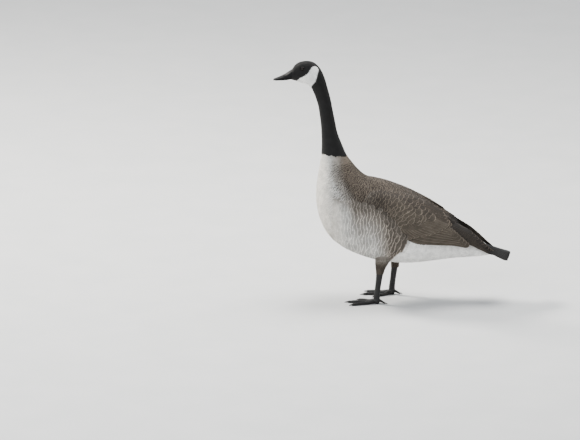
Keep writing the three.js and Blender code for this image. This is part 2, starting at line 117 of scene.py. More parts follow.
# Bill: dorsal y, z, ventral y, z, half width.
BILL_UPPER = np.array(
    [
        [-246.5, 590.7, -251, 570, 11.8],
        [-255, 584.2, -258.4, 568.7, 11.6],
        [-264.8, 577.6, -267.3, 567.3, 11.2],
        [-274.7, 572.4, -276.2, 566.2, 10.6],
        [-283.6, 568.6, -284.6, 564.9, 9.7],
        [-289.9, 566, -290.3, 563.2, 7.8],
        [-294, 563.8, -294, 561.6, 4],
    ]
)
BILL_LOWER = np.array(
    [
        [-251.4, 570.2, -252.6, 564.6, 10],
        [-258.9, 568.8, -260.1, 563, 9.7],
        [-267.8, 567.2, -268.3, 562.2, 9.3],
        [-276.7, 566.1, -276.9, 561.8, 8.6],
        [-284.6, 564.6, -284.7, 561.5, 7.4],
        [-289.6, 563, -289.6, 561, 5],
    ]
)
EYE_RADIUS = 5.4
EYE_CENTRE = np.array([12.7, -221.6, 593.6])
LEGS = {
    "left": dict(side=1, ankle=(41, -29, 85.5), heel=(43, -36.5, 14), hem=4),
    "right": dict(side=-1, ankle=(41, 10, 84.5), heel=(43, 3, 14), hem=8),
}
TOE_IN = math.radians(6)
TOES = [("inner", -27, 51), ("middle", 0, 70), ("outer", 24, 64)]
TOE_WIDTH, SOLE_SINK = 5.2, 1.3
HIND_TOE = dict(length=16, rise=6.4, radius=3.2)
PAD_RADIUS, PAD_HEIGHT = 8.4, 7.6

NECK_BASE, TRUNK_END = 15, 34


def along(rows, t):
    """A smooth run through rows of numbers."""
    t = np.asarray(t, float)
    n = len(rows)
    ext = np.vstack([2 * rows[0] - rows[1], rows, 2 * rows[-1] - rows[-2]])
    i = np.clip(np.floor(t).astype(int), 0, n - 2)
    f = (t - i)[..., None]
    a, b, c, d = ext[i], ext[i + 1], ext[i + 2], ext[i + 3]
    return 0.5 * (
        2 * b
        + (c - a) * f
        + (2 * a - 5 * b + 4 * c - d) * f * f
        + (3 * b - a - 3 * c + d) * f**3
    )


def bent(v, power):
    return np.sign(v) * np.abs(v) ** power


def smooth(a, b, x):
    s = np.clip((x - a) / (b - a), 0, 1)
    return s * s * (3 - 2 * s)


def mix(a, b, w):
    return a + (b - a) * np.asarray(w)[..., None]


def unit(v):
    return v / np.maximum(np.linalg.norm(v, axis=-1, keepdims=True), 1e-12)


def rib_points(rows, t, a, grow=0.0, widest=None, square=None):
    """Points of the ribs at run t and angle a, a = 90 degrees at the back line."""
    r = along(rows, t)
    dy, dz, vy, vz, w = (r[..., k] for k in range(5))
    wd = r[..., 5] if widest is None else widest
    sq = r[..., 6] if square is None else square
    length = np.hypot(dy - vy, dz - vz)
    uy, uz = (dy - vy) / length, (dz - vz) / length
    x = (w + grow) * bent(np.cos(a), 2 / sq)
    reach = length * np.where(np.sin(a) > 0, 1 - wd, wd) + grow
    h = reach * bent(np.sin(a), 2 / sq)
    return np.stack(
        [x, vy + (dy - vy) * wd + uy * h, vz + (dz - vz) * wd + uz * h], axis=-1
    )


# ---- Sheets: a surface on a fine grid, with its own lie, that feathers are laid on --------------
class Sheet:
    """Points P[i, j] at run t[i] and across-place a[j]; feathers lie along rising t."""

    def __init__(self, t, a, P, periodic, flip=False, fields=None):
        self.t, self.a, self.P, self.periodic = t, a, P, periodic
        dt, da = t[1] - t[0], a[1] - a[0]
        St = np.gradient(P, dt, axis=0)
        if periodic:
            wrap = np.concatenate([P[:, -2:-1], P, P[:, 1:2]], axis=1)
            Sa = (wrap[:, 2:] - wrap[:, :-2]) / (2 * da)
        else:
            Sa = np.gradient(P, da, axis=1)
        N = unit(np.cross(St, Sa))
        if flip:
            N = -N
        self.side = -1.0 if flip else 1.0
        self.N = N
        E = (St * St).sum(-1)
        F = (St * Sa).sum(-1)
        G = (Sa * Sa).sum(-1)
        self.E, self.F, self.G = E, F, G
        self.St, self.Sa = St, Sa
        self.fields = fields or {}
        self.pack()

    def pack(self):
        rest = [self.E, self.F, self.G] + [self.fields[k] for k in sorted(self.fields)]
        self.names = {k: 12 + i for i, k in enumerate(sorted(self.fields))}
        self.grid = np.concatenate([self.P, self.N, self.St, np.stack(rest, -1)], -1)

    def sample(self, t, a, clip=False):
        """All channels at (t, a); past the ends the surface runs on straight."""
        t, a = np.asarray(t, float), np.asarray(a, float)
        nt, na = len(self.t), len(self.a)
        tc = np.clip(t, self.t[0], self.t[-1])
        x = (tc - self.t[0]) / (self.t[1] - self.t[0])
        if self.periodic:
            y = np.mod(a, 1.0) * (na - 1)
        else:
            y = np.clip((a - self.a[0]) / (self.a[1] - self.a[0]), 0, na - 1)
        i = np.clip(x.astype(int), 0, nt - 2)
        j = np.clip(y.astype(int), 0, na - 2)
        fx, fy = (x - i)[..., None], (y - j)[..., None]
        g = self.grid
        out = (g[i, j] * (1 - fy) + g[i, j + 1] * fy) * (1 - fx) + (
            g[i + 1, j] * (1 - fy) + g[i + 1, j + 1] * fy
        ) * fx
        if not clip:
            out[..., 0:3] += out[..., 6:9] * (t - tc)[..., None]
            if not self.periodic:
                ac = np.clip(a, self.a[0], self.a[-1])
                Sa = self.Sa[i, j]
                out[..., 0:3] += Sa * (a - ac)[..., None]
        return out

    def step(self, t, a, theta, ds):
        """Where a walk of ds millimetres at angle theta to the lie ends."""
        s = self.sample(t, a, clip=True)
        E, F, G = s[..., 9], s[..., 10], s[..., 11]
        E = np.maximum(E, 1e-6)
        root = np.sqrt(np.maximum(E * G - F * F, 1e-9))
        rE = np.sqrt(E)
        sn = np.sin(theta) * self.side
        da = ds * sn * rE / root
        dt = ds * (np.cos(theta) / rE - sn * F / (rE * root))
        return t + dt, a + da

    def angle_of(self, t, a, direction):
        """The angle to the lie of a direction in space."""
        s = self.sample(t, a, clip=True)
        e1 = unit(s[..., 6:9])
        N = s[..., 3:6]
        e2 = np.cross(N, e1)
        return np.arctan2((direction * e2).sum(-1), (direction * e1).sum(-1))


def body_sheet():
    t = np.linspace(0, TRUNK_END, 34 * 20 + 1)
    a = np.linspace(0, 1, 361)
    fine = np.pi / 2 - 2 * np.pi * np.linspace(0, 1, 1441)
    ang = np.empty((len(t), len(a)))
    P = np.empty((len(t), len(a), 3))
    for i, ti in enumerate(t):
        q = rib_points(RIBS, np.full(fine.shape, ti), fine)
        s = np.concatenate([[0], np.cumsum(np.linalg.norm(np.diff(q, axis=0), axis=1))])
        ang[i] = np.interp(a * s[-1], s, fine)
        P[i] = rib_points(RIBS, np.full(a.shape, ti), ang[i])
    P[:, -1] = P[:, 0]
    return Sheet(t, a, P, True, flip=True)


BODY = body_sheet()
_mid = BODY.P.mean(axis=1, keepdims=True)
if ((BODY.P - _mid) * BODY.N).sum(-1).mean() < 0:
    BODY = Sheet(BODY.t, BODY.a, BODY.P, True, flip=False)

# Sizes of the coat down the run of ribs: row spacing, spacing in a row, length, width, depth.
COAT_AT = [0, 2, 4, 7, 8.5, 11, 14, 15.5, 17, 19, 22, 25, 28, 31, 34]
ROW = [1.15, 1.3, 1.5, 1.8, 2.2, 2.6, 3.1, 3.8, 4.5, 5.1, 6.2, 7.2, 8.2, 8.0, 6.5]
NEXT = [1.05, 1.15, 1.3, 1.5, 1.8, 2.1, 2.6, 3.0, 3.6, 4.2, 5.2, 6.4, 7.2, 7.4, 6.2]
LONG = [3.6, 4.6, 5.8, 7.4, 8.8, 10.5, 12.5, 14.5, 17.5, 20.5, 25, 29, 32, 32, 25]
WIDE = [1.6, 1.8, 2.0, 2.3, 2.9, 4.0, 5.2, 6.3, 7.6, 8.8, 10.8, 13.2, 15, 15, 12]
DEEP = [0.8, 1.1, 1.4, 1.9, 2.6, 3.3, 4.1, 5.0, 6.0, 6.8, 7.2, 7.2, 6.6, 5.2, 3.0]


def coat(table, t):
    return np.interp(t, COAT_AT, table)


def wing_outer(s, v):
    """The folded wing's outer surface on the bird's left, before it is lifted clear of the trunk."""
    r = along(WING, s)
    U = np.stack([r[..., 2], r[..., 0], r[..., 1]], -1)
    L = np.stack([r[..., 5], r[..., 3], r[..., 4]], -1)
    out = np.stack([U[..., 2] - L[..., 2], 0 * s, L[..., 0] - U[..., 0]], -1)
    out = unit(out)
    P = U + (L - U) * v[..., None]
    arch = 4 * v * (1 - v)
    return P, out, r[..., 6], r[..., 7], arch


body_bvh = BVHTree.FromPolygons(
    [tuple(p) for p in BODY.P[280:][::2, :-1][:, ::2].reshape(-1, 3)],
    [
        (i * 180 + j, i * 180 + (j + 1) % 180, (i + 1) * 180 + (j + 1) % 180, (i + 1) * 180 + j)
        for i in range(len(BODY.P[280:][::2]) - 1)
        for j in range(180)
    ],
)


ROLL_COLUMNS, ROLL_RADIUS, ROLL_LENGTH = 20, 6.0, 22.0


def wing_sheet():
    """The outer surface for v 0..1, and for v below 0 its upper edge rolled over towards the back."""
    s = np.linspace(0, 11, 221)
    v = np.linspace(0, 1, 81)
    S, V = np.meshgrid(s, v, indexing="ij")
    P, out, bulge, thick, arch = wing_outer(S, V)
    base = bulge * arch + 0.6
    cover = np.full(S.shape, -4.0)
    for i in range(len(s)):
        for j in range(len(v)):
            p = Vector(P[i, j])
            o = Vector(out[i, j])
            hit = body_bvh.ray_cast(p + o * 60, -o, 64)
            if hit[0] is not None:
                cover[i, j] = 60 - hit[3]
    lift = cover + WING_LIFT
    k = 4.0
    h = np.maximum(k - np.abs(base - lift), 0) / k
    top = np.maximum(base, lift) + h * h * k * 0.25
    for _ in range(2):  # a light smoothing of where the trunk pushes it out
        top[1:-1] = (top[:-2] + 2 * top[1:-1] + top[2:]) / 4
        top[:, 1:-1] = (top[:, :-2] + 2 * top[:, 1:-1] + top[:, 2:]) / 4
    Q = P + out * top[..., None]
    inner = P + out * (bulge * arch - thick * (0.35 + 0.65 * arch))[..., None]
    rise = unit(Q[:, 0] - Q[:, 4])
    face = out[:, 0] - rise * (out[:, 0] * rise).sum(-1, keepdims=True)
    face = unit(face)
    run = np.linspace(ROLL_LENGTH, 0, ROLL_COLUMNS, endpoint=False)
    turn = np.minimum(run / ROLL_RADIUS, 1.9)[None, :, None]
    more = np.maximum(run - 1.9 * ROLL_RADIUS, 0)[None, :, None]
    rise, face = rise[:, None], face[:, None]
    roll = (
        Q[:, :1]
        + ROLL_RADIUS * (np.sin(turn) * rise - (1 - np.cos(turn)) * face)
        + more * (np.cos(turn) * rise - np.sin(turn) * face)
    )
    v = np.concatenate([-np.arange(ROLL_COLUMNS, 0, -1) / 80, v])
    return s, v, np.concatenate([roll, Q], axis=1), inner


ws, wv, wing_P, wing_inner = wing_sheet()
wing_core = wing_P[:, ROLL_COLUMNS:]
WING_L = Sheet(ws, wv, wing_P, False)
if (WING_L.N[..., 0].mean()) < 0:
    WING_L = Sheet(ws, wv, wing_P, False, flip=True)


def tail_sheet(under=False):
    t = np.linspace(0, 4, 81)
    v = np.linspace(-1, 1, 81)
    T, V = np.meshgrid(t, v, indexing="ij")
    r = along(TAIL, T)
    bow = TAIL_END_BOW * (T / 4) ** 3
    half = r[..., 4] / 2
    P = np.stack(
        [
            V * r[..., 2],
            r[..., 0] + bow * (1 - V * V),
            r[..., 1] - r[..., 3] * V * V + (-half if under else half),
        ],
        -1,
    )
    sheet = Sheet(t, v, P, False)
    if sheet.N[..., 2].mean() < 0:
        sheet = Sheet(t, v, P, False, flip=True)
    return sheet


TAIL_S = tail_sheet()


# How far the folded wings stand over the trunk, as a field on the body sheet.
def wing_lift_field():
    polys, pts = [], []
    P = wing_core[::2, ::2]
    ni, nj = P.shape[:2]
    pts = [tuple(p) for p in P.reshape(-1, 3)]
    polys = [
        (i * nj + j, i * nj + j + 1, (i + 1) * nj + j + 1, (i + 1) * nj + j)
        for i in range(ni - 1)
        for j in range(nj - 1)
    ]
    tree = BVHTree.FromPolygons(pts, polys)
    ti = np.arange(0, len(BODY.t), 4)
    aj = np.arange(0, 181, 2)
    H = np.zeros((len(ti), len(aj)))
    M = np.zeros((len(ti), len(aj)))
    for x, i in enumerate(ti):
        if BODY.t[i] < 15:
            continue
        for y, j in enumerate(aj):
            p, n = BODY.P[i, j], BODY.N[i, j]
            if p[0] < 0:
                continue
            hit = tree.ray_cast(Vector(p - n * 6), Vector(n), 60)
            if hit[0] is not None:
                H[x, y] = max(0.0, hit[3] - 6)
                M[x, y] = 1
    # how deep under the wing, in millimetres, by growing inwards from its outline
    depth = np.zeros_like(M)
    inside = M.copy()
    for k in range(24):
        depth += inside
        grown = inside.copy()
        grown[1:] = np.minimum(grown[1:], inside[:-1])
        grown[:-1] = np.minimum(grown[:-1], inside[1:])
        grown[:, 1:] = np.minimum(grown[:, 1:], inside[:, :-1])
        grown[:, :-1] = np.minimum(grown[:, :-1], inside[:, 1:])
        inside = grown
    # spread the lift a little past the outline so that feathers climb on to the wing
    S = H.copy()
    for k in range(6):
        T = S.copy()
        T[1:] = np.maximum(T[1:], S[:-1] * 0.86)
        T[:-1] = np.maximum(T[:-1], S[1:] * 0.86)
        T[:, 1:] = np.maximum(T[:, 1:], S[:, :-1] * 0.86)
        T[:, :-1] = np.maximum(T[:, :-1], S[:, 1:] * 0.86)
        S = np.where(M > 0, H, T)
    # the mantle's own feathers fill the hollow between the two wings, less and less to the rear
    for x, i in enumerate(ti):
        covered = np.where(M[x] > 0)[0]
        if len(covered) == 0 or covered[0] == 0:
            continue
        first = covered[0]
        share = np.interp(BODY.t[i], [17, 19, 24.5, 28, 29.5], [0.9, 0.85, 0.72, 0.35, 0.0])
        away = 1 - np.arange(first) / first
        S[x, :first] = np.maximum(S[x, :first], H[x, first] * share * (1 - 0.25 * away**2))
    for k in range(5):
        T = S.copy()
        T[1:-1] = (S[:-2] + 2 * S[1:-1] + S[2:]) / 4
        T[:, 1:-1] = (T[:, :-2] + 2 * T[:, 1:-1] + T[:, 2:]) / 4
        S = T

    def full(F):
        rows = np.array([np.interp(np.arange(181), aj, r) for r in F])
        cols = np.array(
            [np.interp(np.arange(len(BODY.t)), ti, rows[:, j]) for j in range(181)]
        ).T
        return np.concatenate([cols, cols[:, :-1][:, ::-1]], axis=1)

    return full(S), full(depth)


lift, under = wing_lift_field()
BODY.fields = {"lift": lift, "under": under}
BODY.pack()


# ---- Where things stand in the picture ---------------------------------------------------------
def picture(P):
    """Picture x, y of points on the bird's left side; the right side is taken as its mirror image."""
    Z = P[..., 2] + 5.2 * (np.clip(P[..., 2], 1, None) / 600) ** 2.9
    return np.stack(
        [391 + P[..., 1] / 2.5, 298.9 - (0.966 * Z - 0.2588 * np.abs(P[..., 0])) / 2.5],
        -1,
    )


def inside(poly, q):
    x, y = q[..., 0], q[..., 1]
    n = len(poly)
    res = np.zeros(x.shape, bool)
    j = n - 1
    for i in range(n):
        xi, yi = poly[i]
        xj, yj = poly[j]
        cut = ((yi > y) != (yj > y)) & (
            x < (xj - xi) * (y - yi) / ((yj - yi) if yj != yi else 1e-9) + xi
        )
        res ^= cut
        j = i
    return res


def edge_distance(poly, q, closed=True):
    """Signed distance to an outline, negative inside it."""
    best = np.full(q.shape[:-1], 1e9)
    n = len(poly)
    for i in range(n if closed else n - 1):
        a = np.array(poly[i], float)
        b = np.array(poly[(i + 1) % n], float)
        ab = b - a
        f = np.clip(((q - a) @ ab) / (ab @ ab), 0, 1)
        d = np.linalg.norm(q - (a + f[..., None] * ab), axis=-1)
        best = np.minimum(best, d)
    return np.where(inside(poly, q), -best, best) if closed else best


CHEEK = [
    (313.2, 66.4), (315.4, 66.3), (317.2, 67.6), (318.1, 70), (317.5, 72.6), (316.3, 77.8),
    (314.9, 82), (312.6, 84.7), (311, 86.5), (310.6, 97), (296.5, 97), (296.6, 80.9),
    (300.7, 78), (305, 76), (307.9, 73.4), (309.7, 70.3), (311.5, 67.8),
]  # fmt: skip
FLANK = [
    (330, 194), (345, 200), (359, 205), (372, 208), (384, 215), (393, 222), (399, 228),
    (404.5, 235.6), (405.5, 243), (400, 250), (392, 256), (383, 261), (372, 262), (358, 258),
    (347, 254), (336, 248), (327, 238),
]  # fmt: skip

BLACK = np.array([0.011, 0.0105, 0.0105])
BLACK_TIP = np.array([0.022, 0.0205, 0.0195])
WHITE = np.array([0.80, 0.79, 0.765])
CREAM = np.array([0.60, 0.565, 0.51])
CREAM_TIP = np.array([0.72, 0.69, 0.635])
GREY = np.array([0.150, 0.134, 0.117])
GREY_TIP = np.array([0.42, 0.392, 0.35])
UMBER = np.array([0.050, 0.041, 0.0335])
UMBER_TIP = np.array([0.185, 0.155, 0.125])
COVERT = np.array([0.092, 0.078, 0.063])
COVERT_TIP = np.array([0.235, 0.200, 0.162])
QUILL = np.array([0.027, 0.0235, 0.021])


def wave(P, scale, seed=0.0):
    """A smooth, repeatable unevenness of about -1 to 1."""
    x, y, z = (P[..., k] / scale + seed * (1.3 + 0.7 * k) for k in range(3))
    return (
        np.sin(1.7 * x + 2.1 * np.sin(0.9 * y + 1.3))
        + np.sin(1.9 * y + 1.7 * np.sin(1.1 * z + 0.4))
        + np.sin(2.3 * z + 1.9 * np.sin(1.2 * x + 2.2))
    ) / 3


FLANK_TOP = np.array([(328, 196), (345, 199.5), (359, 204), (372, 207), (384, 214), (393, 221.5), (399, 228), (405, 235), (409, 240)])


def shoulder_distance(q):
    """How far a place of the picture is behind the line where breast grey turns into mantle brown."""
    return q[..., 0] - (332.4 + 0.50 * np.maximum(q[..., 1] - 176, 0))


def barred(mean, tip_gain, tip_least):
    """Ground and edge colour of a barred feather from how light it is on the whole."""
    edge = np.minimum(tip_least + tip_gain * mean, 0.68)
    ground = np.maximum((mean - 0.3 * edge) / 0.7, 0.30 * mean)
    warm = smooth(0.45, 0.08, mean)
    hue = mix(np.array([1.025, 1.0, 0.945]), np.array([1.13, 0.98, 0.83]), warm)
    return ground[..., None] * hue, edge[..., None] * hue


def flank_colours(q):
    """Base and tip colour of the flank feathers at q in the picture: palest in front and below,
    darkest along the upper border and at the rear."""
    x = q[..., 0]
    below = q[..., 1] - np.interp(x, FLANK_TOP[:, 0], FLANK_TOP[:, 1])
    side = 0.32 + 0.22 * smooth(0, 26, below) + 0.24 * smooth(18, 46, below)
    front = 0.48 + 0.42 * smooth(-2, 18, below)
    side = side + (np.maximum(front - side, 0)) * smooth(356, 341, x)
    rear = 0.19 + 0.05 * smooth(-3, 6, below)
    tone = side + (rear - side) * smooth(373, 395, x)
    tone = tone * (1 + 0.06 * np.sin(0.29 * x + 0.23 * below) * np.sin(0.31 * below - 0.11 * x + 1.0))
    base, tip = barred(tone / 1.75, 1.0, 0.20 - 0.07 * smooth(373, 395, x))
    # in front they match the breast that they join
    join = 0.9 * smooth(347, 331, x) * smooth(-4, 12, below)
    return mix(base, CREAM * 0.96, join), mix(tip, CREAM_TIP, join)


def plumage(P, t, a):
    """Base colour, tip colour and how strongly the tip shows, for a place on head, neck or trunk."""
    q = picture(P)
    d = np.abs(np.mod(a, 1.0) - 0.5) * 2  # 1 on the back line, 0 on the belly line
    n = q.shape[:-1]
    base = np.broadcast_to(BLACK, n + (3,)).copy()
    tip = np.broadcast_to(BLACK_TIP, n + (3,)).copy()
    show = np.full(n, 0.35)
    # below the stocking
    s = np.clip((P[..., 1] + 144) / 32, -1.2, 1.2)
    low = 377.5 - 2.2 * s - 1.4 * s * s + 1.6 * wave(P, 6.0, 3.1)
    trunk = P[..., 2] < low
    trunk |= t > 17
    x, y = q[..., 0], q[..., 1]
    behind = shoulder_distance(q)
    tone = 0.98 - 0.17 * smooth(-17, -7, behind) - 0.42 * smooth(-9, 2, behind) - 0.25 * smooth(0, 13, behind)
    mean = tone / 1.87
    c_tip = np.minimum(1.45 * mean + 0.02, 0.70)
    c_base = np.maximum((mean - 0.45 * c_tip) / 0.55, 0.3 * mean)
    hue = mix(np.array([1.02, 1.0, 0.95]), np.array([1.10, 0.985, 0.86]), smooth(0.35, 0.08, mean))
    c_base, c_tip = c_base[..., None] * hue, c_tip[..., None] * hue
    # the brown of the mantle comes round the shoulder and up the foot of the hind neck
    brown = smooth(4, 13, behind) * smooth(0.25, 0.42, d)
    side = smooth(-12, -3, behind)
    c_base = mix(c_base, UMBER, brown)
    c_tip = mix(c_tip, UMBER_TIP, brown)
    # flank ground colour, seen between its barred feathers
    f = smooth(3, -5, edge_distance(FLANK, q))
    fb, ft = flank_colours(q)
    f = f * (d > 0.12) * (d < 0.8)
    c_base, c_tip = mix(c_base, fb, f), mix(c_tip, ft, f)
    # breast and belly front stay pale; behind the legs all below is white
    pale = smooth(0.42, 0.22, d) * (1 - f)
    c_base, c_tip = mix(c_base, CREAM, pale), mix(c_tip, CREAM_TIP, pale)
    white = smooth(376, 392, x) * smooth(0.62, 0.5, d) * (1 - f * 0.9)
    white = np.maximum(white, smooth(29.5, 30.5, t) * smooth(0.66, 0.56, d))
    white = white * np.where(d < 0.6, smooth(33.2, 32.4, t), 1.0)
    c_base = mix(c_base, BLACK * 2, smooth(32.4, 33.0, t) * (d < 0.6))
    c_tip = mix(c_tip, BLACK * 3, smooth(32.4, 33.0, t) * (d < 0.6))
    c_base, c_tip = mix(c_base, WHITE * 0.97, white), mix(c_tip, WHITE, white)
    # dark rump, then the white band of upper tail coverts
    rump = smooth(26.5, 28, t) * smooth(0.58, 0.7, d)
    dark = mix(UMBER * 0.5, BLACK * 1.2, smooth(27, 29.5, t))
    c_base, c_tip = mix(c_base, dark, rump), mix(c_tip, dark * 2.0, rump)
    band = smooth(30.9, 31.4, t) * smooth(0.5, 0.62, d)
    c_base, c_tip = mix(c_base, WHITE * 0.97, band), mix(c_tip, WHITE, band)
    base = np.where(trunk[..., None], c_base, base)
    tip = np.where(trunk[..., None], c_tip, tip)
    strength = 0.55 + 0.35 * np.clip(brown + f + side * smooth(21, 19, t), 0, 1)
    strength = np.where(white + band > 0.5, 0.2, strength)
    show = np.where(trunk, strength, show)
    # the white cheek, joined under the throat
    edge = edge_distance(CHEEK, q) + 0.16 * wave(P, 2.2, 1.7) + 0.22 * wave(P, 0.31, 0.6)
    cheek = (edge < 0) & (t < 9.5) & (t > 1.2)
    base = np.where(cheek[..., None], WHITE, base)
    tip = np.where(cheek[..., None], WHITE * 1.02, tip)
    show = np.where(cheek, 0.2, show)
    return base, tip, show


# ---- Feathers ----------------------------------------------------------------------------------
def lattice(sheet, row, gap, t0, t1, jitter=0.16, seed=1, skew=None):
    """Roots in staggered rows across the lie, with spacings that change over the sheet."""
    r = np.random.default_rng(seed)
    keep = (sheet.t >= t0 - 1e-9) & (sheet.t <= t1 + 1e-9)
    tg = sheet.t[keep]
    T, A = np.meshgrid(tg, sheet.a, indexing="ij")
    P = sheet.P[keep]
    speed = np.sqrt(sheet.E[keep]) / row(T, A)
    dt = tg[1] - tg[0]
    B = np.concatenate(
        [np.zeros((1, T.shape[1])), np.cumsum((speed[1:] + speed[:-1]) / 2 * dt, axis=0)]
    )
    if sheet.periodic:
        B[:, -1] = B[:, 0]
    if skew is not None:
        B = B + skew(T, A)
    levels = np.arange(0.35, B.max(), 1.0)
    ts = np.empty((len(levels), T.shape[1]))
    for j in range(T.shape[1]):
        ts[:, j] = np.interp(levels, B[:, j], tg, left=np.nan, right=np.nan)
        ts[levels > B[-1, j], j] = np.nan
    out_t, out_a = [], []
    for k in range(len(levels)):
        line = ts[k]
        good = ~np.isnan(line)
        if good.sum() < 2:
            continue
        idx = np.where(good)[0]
        for run in np.split(idx, np.where(np.diff(idx) > 1)[0] + 1):
            if len(run) < 3:
                continue
            tl, al = line[run], sheet.a[run]
            p = sheet.sample(tl, al, clip=True)[..., :3]
            seg = np.linalg.norm(np.diff(p, axis=0), axis=1)
            g = gap(tl, al)
            c = np.concatenate([[0], np.cumsum(seg / ((g[1:] + g[:-1]) / 2))])
            whole = sheet.periodic and len(run) == len(sheet.a)
            n = max(int(round(c[-1])), 1)
            if whole:
                where = (np.arange(n) + (0.5 if k % 2 else 0.0)) * c[-1] / n
            else:
                where = np.arange((k % 2) * 0.5, c[-1], 1.0)
            if len(where) == 0:
                continue
            loose = jitter(np.interp(where, c, tl)) if callable(jitter) else jitter
            where = where + r.uniform(-1, 1, len(where)) * loose
            aa = np.interp(np.clip(where, 0, c[-1]), c, al)
            tt = np.interp(np.clip(where, 0, c[-1]), c, tl)
            tt = tt + r.uniform(-1, 1, len(tt)) * loose * row(tt, aa) / np.sqrt(
                np.maximum(sheet.sample(tt, aa, clip=True)[..., 9], 1e-6)
            )
            out_t.append(tt)
            out_a.append(aa)
    return np.concatenate(out_t), np.concatenate(out_a)


class Feathers:
    """Gathers vanes into one mesh, with the colours and maps they need."""

    def __init__(self):
        self.v, self.f, self.base, self.tip, self.fringe, self.fuv, self.root = (
            [] for _ in range(7)
        )
        self.count = 0

    def add(self, pos, base, tip, fringe, root, U, V, patch=0.003, thick=None, normal=None):
        """pos: n x rows x cols x 3; base, tip: n x 3; fringe: n x 3; root: n x 2 in 0..1."""
        n, R, C = pos.shape[:3]
        if n == 0:
            return
        grid = np.arange(R * C).reshape(R, C)
        quad = np.stack([grid[:-1, :-1], grid[:-1, 1:], grid[1:, 1:], grid[1:, :-1]], -1)
        quad = quad.reshape(-1, 4)
        verts = pos.reshape(n, R * C, 3)
        us = np.broadcast_to(U, (n, R, C)).reshape(n, R * C)
        vs = np.broadcast_to(V, (n, R, C)).reshape(n, R * C)
        if thick is not None:
            low = (pos - normal * thick[..., None]).reshape(n, R * C, 3)
            verts = np.concatenate([verts, low], axis=1)
            us, vs = np.concatenate([us, us], 1), np.concatenate([vs, vs], 1)
            ring = np.concatenate([grid[0, :-1], grid[:-1, -1], grid[-1, :0:-1], grid[:0:-1, 0]])
            nxt = np.roll(ring, -1)
            wall = np.stack([ring, ring + R * C, nxt + R * C, nxt], -1)
            quad = np.concatenate([quad, quad[:, ::-1] + R * C, wall])
        m = verts.shape[1]
        faces = quad[None] + (self.count + np.arange(n) * m)[:, None, None]
        self.v.append(verts.reshape(-1, 3))
        self.f.append(faces.reshape(-1, 4))
        for store, value in ((self.base, base), (self.tip, tip), (self.fringe, fringe)):
            if np.ndim(value) == 4:  # a colour for each point
                value = np.asarray(value).reshape(n, R * C, -1)
                if thick is not None:
                    value = np.concatenate([value, value], axis=1)
                store.append(value.reshape(n * m, -1))
            else:
                store.append(np.repeat(value, m, axis=0))
        self.fuv.append(np.stack([us * 0.5 + 0.5, vs], -1).reshape(-1, 2))
        spot = root[:, None, :] + patch * np.stack([us * 0.5, vs - 0.5], -1)
        self.root.append(spot.reshape(-1, 2))
        self.count += n * m

    def build(self, name, material, replaces=()):
        v = np.concatenate(self.v)
        f = np.concatenate(self.f)
        obj = mesh_object(name, v, f, material)
        me = obj.data
        for label, data in (("Base", self.base), ("Tip", self.tip)):
            col = np.ones((len(v), 4), np.float32)
            col[:, :3] = np.clip(np.concatenate(data), 0, 1)
            attr = me.color_attributes.new(label, "FLOAT_COLOR", "POINT")
            attr.data.foreach_set("color", col.ravel())
        attr = me.attributes.new("Fringe", "FLOAT_VECTOR", "POINT")
        attr.data.foreach_set("vector", np.concatenate(self.fringe).astype(np.float32).ravel())
        for label, data in (("FUV", self.fuv), ("OFBake", self.root)):
            uv = me.uv_layers.new(name=label)
            values = np.concatenate(data)[f.ravel()].astype(np.float32)
            if label == "OFBake":
                values = np.clip(values, 0.0005, 0.9995)
            uv.data.foreach_set("uv", values.ravel())
        me.uv_layers.active = me.uv_layers["OFBake"]
        ride(obj, replaces)
        return obj


def mesh_object(name, v, f, material, flat=False):
    """A mesh from millimetre points and quads (or triangles)."""
    me = bpy.data.meshes.new(name)
    v = (np.asarray(v, float) + CENTRE) * MM
    f = np.asarray(f, np.int32)
    k = f.shape[1]
    me.vertices.add(len(v))
    me.vertices.foreach_set("co", v.astype(np.float32).ravel())
    me.loops.add(f.size)
    me.loops.foreach_set("vertex_index", f.ravel())
    me.polygons.add(len(f))
    me.polygons.foreach_set("loop_start", np.arange(len(f), dtype=np.int32) * k)
    me.polygons.foreach_set("loop_total", np.full(len(f), k, np.int32))
    me.update(calc_edges=True)
    me.validate()
    if not flat:
        me.polygons.foreach_set("use_smooth", np.ones(len(me.polygons), bool))
    obj = bpy.data.objects.new(name, me)
    bpy.context.scene.collection.objects.link(obj)
    if material is not None:
        me.materials.append(material)
    return obj


def ride(obj, replaces=()):
    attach(obj, "root")
    if replaces:
        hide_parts(*replaces)


